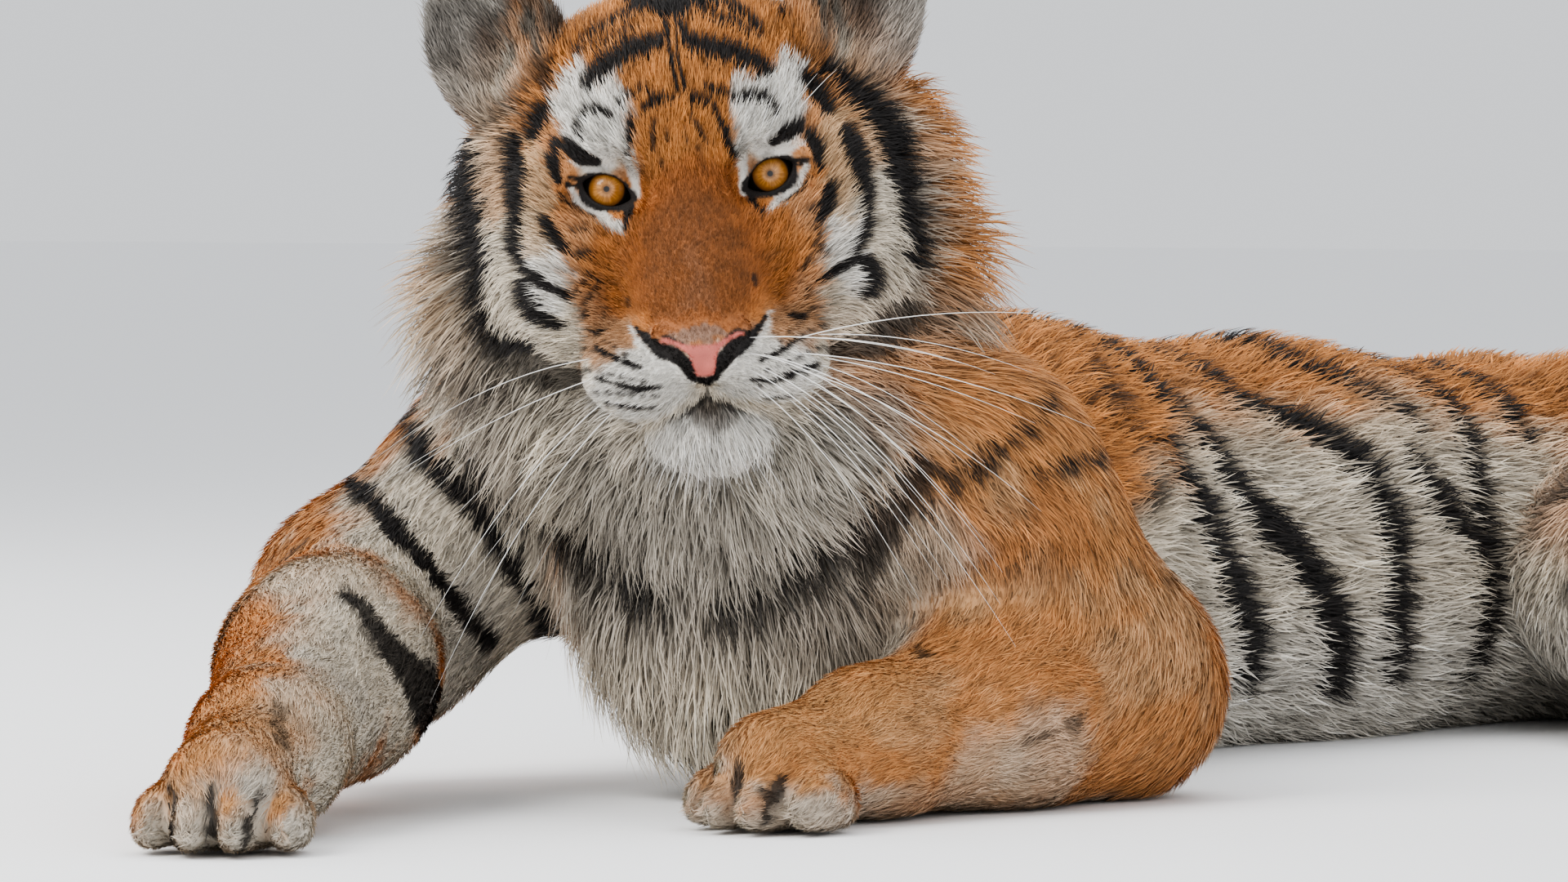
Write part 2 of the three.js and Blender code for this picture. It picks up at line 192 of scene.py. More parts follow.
trunk_forms = [
    limb("neck", plan_frame, [44, -225, 300], [-10, -60, 250], 150, 160, 60, 26, 46),
    ball("neck", plan_frame, [26, -215, 176], [150, 95, 166], 60, 22, 30, 66, (0.2, -0.35, -0.9)),
    limb("trunk", plan_frame, [-12, -80, 180], [-62, 240, 164], 186, 192, 60, 15, 36),
    limb("trunk", plan_frame, [-62, 240, 164], [-28, 600, 148], 192, 182, 60, 15, 38),
    limb("trunk", plan_frame, [-28, 600, 148], [70, 930, 150], 182, 162, 60, 15, 38),
    ball("trunk", plan_frame, [-20, -30, 246], [150, 180, 120], 70, 14, 16, 30, (0, 0.9, -0.3)),
    *pair(lambda s: ball("trunk", plan_frame, [62 + s * 84, 980, 160], [120, 160, 140], 60, -14, 14, 34,
                         (s * 0.3, 0.6, -0.7))),
]


# %% [markdown]
# Each leg runs from the shoulder or hip to the toes. A paw is its own root with four toes side by
# side, the outer two set a little back.


# %% Legs
def paw_forms(kind, wrist, toes, size, hair):
    """A paw and its toes. Every measure of them is a share of the paw's size."""
    ahead = np.subtract(toes, wrist)
    heading = math.atan2(ahead[0], -ahead[1])
    where = Matrix.Translation((toes[0], toes[1], 0)) @ Matrix.Rotation(heading, 4, "Z")
    end = [toes[0], toes[1], size * 0.72]
    forms = [limb(kind, plan_frame, wrist, end, size * 0.88, size * 0.8, 30, 8, hair)]
    lie = (math.sin(heading), -math.cos(heading), -0.3)
    back_of_paw = [size * 1.02, size * 0.72, size * 0.62]
    middle = [0, size * 0.15, size * 0.42]
    forms.append(ball(kind, where, middle, back_of_paw, size * 0.3, 0, 9, hair * 0.8, lie))
    for k in (-1.5, -0.5, 0.5, 1.5):
        back = 0.34 if abs(k) > 1 else 0
        spot = [k * size * 0.52, (back - 0.42) * size, size * 0.34]
        half = [size * 0.31, size * 0.64, size * 0.46]
        forms.append(ball(kind, where, spot, half, size * 0.15, 0, 5, hair * 0.75, lie))
    return forms


def foreleg(side, shoulder, elbow, wrist, toes):
    leg = "foreleg_" + side
    mid = list(Vector(elbow).lerp(Vector(wrist), 0.45))
    return [
        limb(leg, plan_frame, shoulder, elbow, 118, 92, 60, 14, 26),
        limb(leg, plan_frame, elbow, mid, 94, 84, 50, 12, 20),
        limb(leg, plan_frame, mid, wrist, 84, 64, 40, 10, 17),
        *paw_forms("forepaw_" + side, wrist, toes, 62, 13),
    ]


def hindleg(side, hip, knee, hock, heel, toes):
    leg = "hindleg_" + side
    down = (0.15 if side == "left" else -0.15, 0.5, -0.8)
    return [
        limb(leg, plan_frame, hip, knee, 150, 104, 60, 14, 28, down),
        limb(leg, plan_frame, knee, hock, 96, 56, 50, 12, 22, down),
        *paw_forms("hindpaw_" + side, heel, toes, 56, 13),
    ]


leg_forms = [
    *foreleg("left", [170, -130, 240], [236, -34, 86], [208, -300, 56], [202, -420, 60]),
    *foreleg("right", [-190, -190, 236], [-246, -320, 140], [-80, -654, 62], [-14, -784, 60]),
    *hindleg("left", [156, 960, 160], [272, 770, 134], [300, 1010, 44], [320, 905, 40], [336, 650, 50]),
    *hindleg("right", [-40, 980, 160], [-186, 800, 134], [-170, 1040, 44], [-196, 940, 40], [-246, 690, 50]),
]

# %% [markdown]
# The tail lies on the floor round the left haunch. Its line is one smooth curve through a few places.

# %% Tail
TAIL_PLACES = np.array([
    [128, 1090, 190], [190, 1190, 80], [300, 1226, 36], [420, 1150, 29],
    [478, 1000, 28], [486, 840, 28], [446, 700, 27],
], float)


def even_curve(places, steps):
    """Even steps along a centripetal curve through places, in two or three dimensions."""
    places = np.asarray(places, float)
    p = np.vstack([2 * places[0] - places[1], places, 2 * places[-1] - places[-2]])
    fine = []
    for a, b, c, d in zip(p, p[1:], p[2:], p[3:]):
        t0 = 0.0
        t1 = t0 + np.linalg.norm(b - a) ** 0.5
        t2 = t1 + np.linalg.norm(c - b) ** 0.5
        t3 = t2 + np.linalg.norm(d - c) ** 0.5
        t = np.linspace(t1, t2, 40, endpoint=False)[:, None]
        ab = (t1 - t) / (t1 - t0) * a + (t - t0) / (t1 - t0) * b
        bc = (t2 - t) / (t2 - t1) * b + (t - t1) / (t2 - t1) * c
        cd = (t3 - t) / (t3 - t2) * c + (t - t2) / (t3 - t2) * d
        abc = (t2 - t) / (t2 - t0) * ab + (t - t0) / (t2 - t0) * bc
        bcd = (t3 - t) / (t3 - t1) * bc + (t - t1) / (t3 - t1) * cd
        fine.append((t2 - t) / (t2 - t1) * abc + (t - t1) / (t2 - t1) * bcd)
    fine = np.vstack([*fine, places[-1:]])
    walk = np.r_[0, np.cumsum(np.linalg.norm(np.diff(fine, axis=0), axis=1))]
    at = np.linspace(0, walk[-1], steps + 1)
    return np.column_stack([np.interp(at, walk, fine[:, k]) for k in range(places.shape[1])])


TAIL_STEPS = 12
tail_points = even_curve(TAIL_PLACES, TAIL_STEPS)
tail_radius = [62 - 24 * min(1, i / TAIL_STEPS * 2.5) for i in range(TAIL_STEPS + 1)]
tail_forms = [
    limb("tail", plan_frame, a, b, ra, rb, 14, 14, 26)
    for a, b, ra, rb in zip(tail_points, tail_points[1:], tail_radius, tail_radius[1:])
]

forms = [*trunk_forms, *leg_forms, *tail_forms, *head_forms]
print(len(forms), "forms")

# %% [markdown]
# ## The skin's field
#
# Below zero is inside. Each form is first drawn in by its coat's depth, so one field gives both the
# outline, with no drawing in, and the skin under the coat. Ears are thin cups, so they are a shell
# with a hollow taken out. Sockets, nostrils and the line of the mouth are dents.


# %% Ears and dents
EAR_ROOT, EAR_HALF, EAR_SPLAY = (124, 72, 92), (56, 26, 68), 24


def ear_form(side):
    where = (
        head_frame
        @ Matrix.Translation((side * EAR_ROOT[0], EAR_ROOT[1], EAR_ROOT[2]))
        @ Matrix.Rotation(math.radians(side * 20), 4, "Z")
        @ Matrix.Rotation(math.radians(side * EAR_SPLAY), 4, "Y")
    )
    shell = ball("ear", where, (0, 0, 26), EAR_HALF, 0)
    cup = ball("ear", where, (0, -30, 35), (43, 36, 52), 0)

    def distance(x, y, z):
        outer, inner = shell.distance(x, y, z), -cup.distance(x, y, z)
        h = np.maximum(12 - np.abs(outer - inner), 0) / 12
        return np.maximum(outer, inner) + h * h * 3

    up = np.array(where.to_3x3() @ Vector((0, 0.2, 1)))
    return Form("ear", distance, shell.low, shell.high, 10, 1.5, 9, up)


# %% [markdown]
# An eye's opening is an almond, the overlap of two circles, with its inner corner the lower one. The
# lid is a thin roll round that almond, and the opening is cut out of the face inside it.

# %% Eyelids
ALMOND_LONG, ALMOND_HIGH, ALMOND_TILT, ALMOND_DROP = 19.0, 10.9, math.radians(24), -0.9


def almond(toward_nose, up):
    """Field of the opening of an eye in the plane across its line of sight."""
    up = up - ALMOND_DROP
    u = toward_nose * math.cos(ALMOND_TILT) - up * math.sin(ALMOND_TILT)
    w = toward_nose * math.sin(ALMOND_TILT) + up * math.cos(ALMOND_TILT)
    radius = (ALMOND_LONG ** 2 + ALMOND_HIGH ** 2) / (2 * ALMOND_HIGH)
    return np.hypot(u, np.abs(w) + radius - ALMOND_HIGH) - radius


def eye_form(side, shape, melt):
    """A form of the lids, whose shape is a function of the almond's field and of the depth."""
    e = np.array(head_frame.inverted())

    def distance(x, y, z):
        across, v, w = seen_from(e, x, y, z)
        u = side * EYE_SPACING / 2 - across
        return shape(almond(side * u, w), v - 0.03 * (u * u + w * w - 169))

    middle = placed(head_frame, (side * EYE_SPACING / 2, -18, 0))
    return Form("lid", distance, middle - 36, middle + 36, melt, 0, 2, (0, 1, 0))


def lid(field, depth):
    return np.hypot(field - 2.6, depth + 1.5) - 3.0


def opening(field, depth):
    return np.maximum(field, depth - 6)


# %% Sockets, lids, nose and mouth
socket_dents = pair(lambda s: ball("head", head_frame, [s * 61, -22, 0], [31, 26, 26], 12))
lid_rings = pair(lambda s: eye_form(s, lid, 5))
lid_holes = pair(lambda s: eye_form(s, opening, 2))
nose_forms = [
    ball("nose", head_frame, [0, -86, -124], [22, 20, 20], 5, coat=0, hair=2),
    *pair(lambda s: limb("nose", head_frame, [s * 6, -98, -124], [s * 29, -88, -113], 8, 7, 5, 0, hair=2)),
]


def nostril(a, b, ra, rb):
    return limb("nose", head_frame, a, b, ra, rb, 3, hair=2)


nose_dents = [
    *pair(lambda s: nostril([s * 14, -110, -136], [s * 27, -104, -122], 4.5, 5.5)),
    *pair(lambda s: nostril([s * 27, -104, -122], [s * 40, -88, -103], 5.0, 2.5)),
    limb("nose", head_frame, [0, -108, -136], [0, -98, -162], 1.6, 2.4, 4, hair=2),
]

skin_forms = [*forms, ear_form(1), ear_form(-1), *nose_forms]
skin_dents = [*lid_holes, *nose_dents]


# %% Fields
NOWHERE = 400.0
SKIN_FLOOR = 4
# Lists of forms in the order they are laid on: whether they add (1) or take away (-1), and whether
# they are drawn in by the depth of their coat.
LAYERS = [(skin_forms, 1, 1), (socket_dents, -1, 0), (lid_rings, 1, 0), (skin_dents, -1, 0)]


def melted(a, b, melt):
    """The lower of two fields, rounded where they are close."""
    h = np.maximum(melt - np.abs(a - b), 0) / melt
    return np.minimum(a, b) - h * h * melt / 4


def laid_on(d, f, sign, drawn_in, x, y, z):
    """The field d with one form added to it or taken away."""
    return sign * melted(sign * d, f.distance(x, y, z) + drawn_in * f.coat, f.melt)


def above_floor(d, z):
    return -melted(-d, z - SKIN_FLOOR, FLOOR_MELT)


def skin_field(p):
    """The skin's field at many points of the plan."""
    d = np.full(len(p), NOWHERE)
    for some_forms, sign, drawn_in in LAYERS:
        for f in some_forms:
            near = np.flatnonzero(((p > f.low) & (p < f.high)).all(1))
            if len(near):
                d[near] = laid_on(d[near], f, sign, drawn_in, *p[near].T)
    return above_floor(d, p[:, 2])


def slope(p, step=0.7):
    """Unit normals of the skin's field."""
    g = np.stack([skin_field(p + e) - skin_field(p - e) for e in step * np.eye(3)], 1)
    return g / (np.linalg.norm(g, axis=1, keepdims=True) + 1e-9)

# %% [markdown]
# ## From field to skin
#
# The field is read on a grid whose lines lie close together at the face and wider over the body.
# Where a cell of the grid is crossed by the surface it gets one vertex, and each crossed grid line
# gets one face between the four cells round it. That gives an even mesh of squares.


# %% Grid lines, close together at the face
SPACING_GROWTH = 0.12


def grid_lines(low, high, zones):
    """Lines from low to high. A zone is (from, to, spacing), and spacing changes gently."""
    lines = [low]
    while lines[-1] < high:
        x = lines[-1]
        steps = [spacing + SPACING_GROWTH * max(0, a - x, x - b) for a, b, spacing in zones]
        lines.append(x + min(steps))
    return np.array(lines)


low = np.min([f.low for f in forms], axis=0)
high = np.max([f.high for f in skin_forms], axis=0)
COARSE, MIDDLE, FINE = ((13, 5.5, 2.2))
face_low, face_high = (-15, -432, 290), (175, -290, 500)
head_low, head_high = (-190, -460, 210), (290, -110, 655)
lines = [
    grid_lines(low[k], high[k], [
        (-1e4, 1e4, COARSE),
        (head_low[k], head_high[k], MIDDLE),
        (face_low[k], face_high[k], FINE),
    ])
    for k in range(3)
]
size = [len(a) for a in lines]
print("grid", size, math.prod(size))


# %% Read the field on the grid
def field_on_grid():
    values = np.full(size, NOWHERE, np.float32)
    for some_forms, sign, drawn_in in LAYERS:
        for f in some_forms:
            cut = tuple(slice(*np.searchsorted(lines[k], (f.low[k], f.high[k]))) for k in range(3))
            x, y, z = np.ix_(*[lines[k][cut[k]] for k in range(3)])
            values[cut] = laid_on(values[cut], f, sign, drawn_in, x, y, z)
    return above_floor(values, lines[2])


values = field_on_grid()


# %% One vertex in each crossed cell, one square on each crossed line
CORNERS = np.array([(i, j, k) for i in (0, 1) for j in (0, 1) for k in (0, 1)])


def skin_mesh(values):
    inside = values < 0
    n = [s - 1 for s in size]
    count = np.zeros(n, np.int8)
    for i, j, k in CORNERS:
        count += inside[i:i + n[0], j:j + n[1], k:k + n[2]]
    cells = np.argwhere((count > 0) & (count < 8))
    number = np.full(n, -1, np.int32)
    number[tuple(cells.T)] = np.arange(len(cells))
    at = np.stack([values[tuple((cells + c).T)] for c in CORNERS], 1)
    place = np.stack([np.stack([lines[k][cells[:, k] + c[k]] for k in range(3)], 1) for c in CORNERS], 1)
    total = np.zeros((len(cells), 3))
    hits = np.zeros(len(cells))
    for a, corner_a in enumerate(CORNERS):
        for b, corner_b in enumerate(CORNERS):
            if b <= a or np.abs(corner_a - corner_b).sum() != 1:
                continue
            crossed = (at[:, a] < 0) != (at[:, b] < 0)
            t = np.where(crossed, at[:, a] / np.where(crossed, at[:, a] - at[:, b], 1), 0)[:, None]
            total += crossed[:, None] * (place[:, a] * (1 - t) + place[:, b] * t)
            hits += crossed
    vertices = total / hits[:, None]
    faces = []
    for axis in range(3):
        here = [slice(1, -1)] * 3
        ahead = list(here)
        here[axis], ahead[axis] = slice(0, -1), slice(1, None)
        crossed = inside[tuple(here)] != inside[tuple(ahead)]
        edge = np.argwhere(crossed)
        edge[:, [k for k in range(3) if k != axis]] += 1
        starts_inside = inside[tuple(edge.T)]
        u, v = np.zeros(3, int), np.zeros(3, int)
        u[(axis + 1) % 3], v[(axis + 2) % 3] = 1, 1
        quad = np.stack([number[tuple((edge - s).T)] for s in (u + v, v, 0 * u, u)], 1)
        faces.append(np.where(starts_inside[:, None], quad, quad[:, ::-1]))
    return vertices, np.vstack(faces)


vertices, faces = skin_mesh(values)
for _ in range(2):
    gap = np.clip(skin_field(vertices), -3, 3)
    vertices = vertices - slope(vertices) * gap[:, None]
normals = slope(vertices)
print("skin", len(vertices), "vertices", len(faces), "faces")

# %% Skin as one mesh
def mesh_piece(name, vertices, faces, smooth=True):
    """A new object from plan millimetres."""
    mesh = bpy.data.meshes.new(name)
    mesh.vertices.add(len(vertices))
    mesh.vertices.foreach_set("co", to_row(vertices).astype(np.float32).ravel())
    sides = faces.shape[1]
    mesh.loops.add(faces.size)
    mesh.loops.foreach_set("vertex_index", faces.astype(np.int32).ravel())
    mesh.polygons.add(len(faces))
    mesh.polygons.foreach_set("loop_start", np.arange(0, faces.size, sides, dtype=np.int32))
    mesh.polygons.foreach_set("use_smooth", np.full(len(faces), smooth))
    mesh.update(calc_edges=True)
    piece = bpy.data.objects.new(name, mesh)
    bpy.context.scene.collection.objects.link(piece)
    return piece


skin = mesh_piece("skin", vertices, faces)
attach(skin, "root")
flesh = [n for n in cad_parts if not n.startswith("eye_")]
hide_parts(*flesh)
print("the skin stands for", len(flesh), "solids")

# %% [markdown]
# ## What each spot of skin belongs to
#
# Any point of the skin asks every form how near it is. Near forms share out the depth of the coat,
# the length of the hair and the way it lies, so all three change gently from one part to the next.


# %% Shares of the forms at points of the skin
KINDS = [
    "head", "ear", "lid", "nose", "neck", "trunk", "foreleg", "forepaw", "hindleg", "hindpaw", "tail",
]
SHARP_KINDS = ("lid", "nose", "ear")
SHARP_FADE, SOFT_FADE = 3, 12
SHARE_REACH = 40
NOSE_TIP = np.array([0, -60, -118.0])


def smooth(t):
    t = np.clip(t, 0, 1)
    return t * t * (3 - 2 * t)


def shares(p):
    """For each point: the weight of every kind, the coat's depth, the hair's length and its lie."""
    weight = np.zeros((len(p), len(KINDS)))
    coat, hair, lie = np.zeros(len(p)), np.zeros(len(p)), np.zeros((len(p), 3))
    for f in [*skin_forms, *lid_rings]:
        near = np.flatnonzero(((p > f.low - SHARE_REACH) & (p < f.high + SHARE_REACH)).all(1))
        if not len(near):
            continue
        fade = SHARP_FADE if f.kind in SHARP_KINDS else SOFT_FADE
        w = np.exp(-np.maximum(f.distance(*p[near].T) + f.coat, 0) / fade)
        weight[near, KINDS.index(f.kind.split("_")[0])] += w
        coat[near] += w * f.coat
        hair[near] += w * f.hair
        lie[near] += (w ** 0.35)[:, None] * f.lie
    total = weight.sum(1) + 1e-9
    return weight / total[:, None], coat / total, hair / total, lie


weight, coat_depth, hair_length, lie = shares(vertices)
print("hair is", hair_length.min().round(), "to", hair_length.max().round(), "mm long")


# %% [markdown]
# Hair lies away from the nose over the face, away from the eye round the eye, and back and down
# over the body. Round each eye a bare black rim is left.

# %% The way the hair lies
def eye_gap(h):
    """How far out from the nearer eye each point is, where its bare rim ends, and the way from it."""
    side = np.sign(h[:, 0])
    across, up = EYE_SPACING / 2 - np.abs(h[:, 0]), h[:, 2]
    gap = np.where(h[:, 1] < 60, almond(across, up) + ALMOND_HIGH, 200)
    away = np.column_stack([-side * across, np.zeros(len(h)), up])
    away /= np.linalg.norm(away, axis=1, keepdims=True) + 1e-6
    rim = 12.9 + 3.0 * smooth(0.35 - up / 9) + 2.2 * smooth(-across / 16 - 0.2)
    return gap, rim, away


def hair_lie(p, normal, weight, lie):
    """The way the coat lies: from the nose out over the face, and back or down over the body."""
    h = to_head(p)
    away = h - NOSE_TIP
    away /= np.linalg.norm(away, axis=1, keepdims=True)
    wide = smooth((np.abs(h[:, 0]) - 80) / 70) * (0.75 + 0.35 * smooth((-20 - h[:, 2]) / 80))
    away = away + wide[:, None] * np.array([0, 0.1, -1.0])
    gap, _, from_eye = eye_gap(h)
    near_eye = smooth((40 - gap) / 22)[:, None]
    away = away * (1 - near_eye) + (from_eye + np.array([0, 0, 0.15])) * near_eye
    in_ear = smooth(weight[:, KINDS.index("ear")] * 2)[:, None]
    sideways = np.column_stack([0.5 * np.sign(h[:, 0]), np.zeros(len(h)), np.ones(len(h))])
    away = away * (1 - in_ear) + sideways * in_ear
    on_head = smooth((weight[:, KINDS.index("head")] + weight[:, KINDS.index("ear")]) * 1.6)[:, None]
    body = lie / (np.linalg.norm(lie, axis=1, keepdims=True) + 1e-9)
    flow = body * (1 - on_head) + (away @ head_axes.T) * on_head
    flow -= normal * (flow * normal).sum(1, keepdims=True)
    return flow / (np.linalg.norm(flow, axis=1, keepdims=True) + 1e-9)


# %% [markdown]
# ## Markings
#
# The pattern is one function of place, used by the skin and by every blade of hair. Soft dabs lay
# down the orange, cream and white; black strokes go over them. A stroke is a curve with a width,
# and smooth noise frays its edge.

# %% Smooth noise
LATTICE_SIZE = 24
LATTICE = rng.random((LATTICE_SIZE,) * 3)


def noise(p, span, shift=0.0):
    """Smooth values from 0 to 1 that change over about a span of millimetres."""
    q = p / span + shift
    cell = np.floor(q).astype(int)
    t = smooth(q - cell)
    total = np.zeros(len(p))
    for corner in CORNERS:
        w = np.where(corner, t, 1 - t).prod(1)
        total += w * LATTICE[tuple(((cell + corner) % LATTICE_SIZE).T)]
    return total


# %% Strokes
class Stroke:
    """A curve with half widths in millimetres, and how dark it is."""

    def __init__(self, places, widths, dark=1.0):
        steps = 4 * (len(places) - 1)
        self.widths = np.interp(np.linspace(0, 1, steps + 1), np.linspace(0, 1, len(widths)), widths)
        self.dark = dark
        self.lay(even_curve(places, steps))

    def lay(self, points):
        self.points = points
        self.low = points.min(0) - max(self.widths) - 14
        self.high = points.max(0) + max(self.widths) + 14

    def depth(self, p):
        """How far inside the stroke each point lies."""
        best = np.full(len(p), -99.0)
        for a, b, wa, wb in zip(self.points, self.points[1:], self.widths, self.widths[1:]):
            ab = b - a
            t = np.clip(((p - a) @ ab) / (ab @ ab), 0, 1)
            gap = np.linalg.norm(p - a - t[:, None] * ab, axis=1)
            best = np.maximum(best, wa + (wb - wa) * t - gap)
        return best


def inked(strokes, p, fray, soft):
    """How black the strokes make each point, from 0 to 1."""
    black = np.zeros(len(p))
    for s in strokes:
        near = np.flatnonzero(((p > s.low) & (p < s.high)).all(1))
        if len(near):
            d = s.depth(p[near]) + fray[near] - 0.4 * soft
            black[near] = np.maximum(black[near], s.dark * smooth(0.5 + d / soft))
    return black

# %% [markdown]
# The face's strokes are planned in its front view, x to the tiger's left and z up. The two sides
# are alike but not mirrored, as on a live animal.

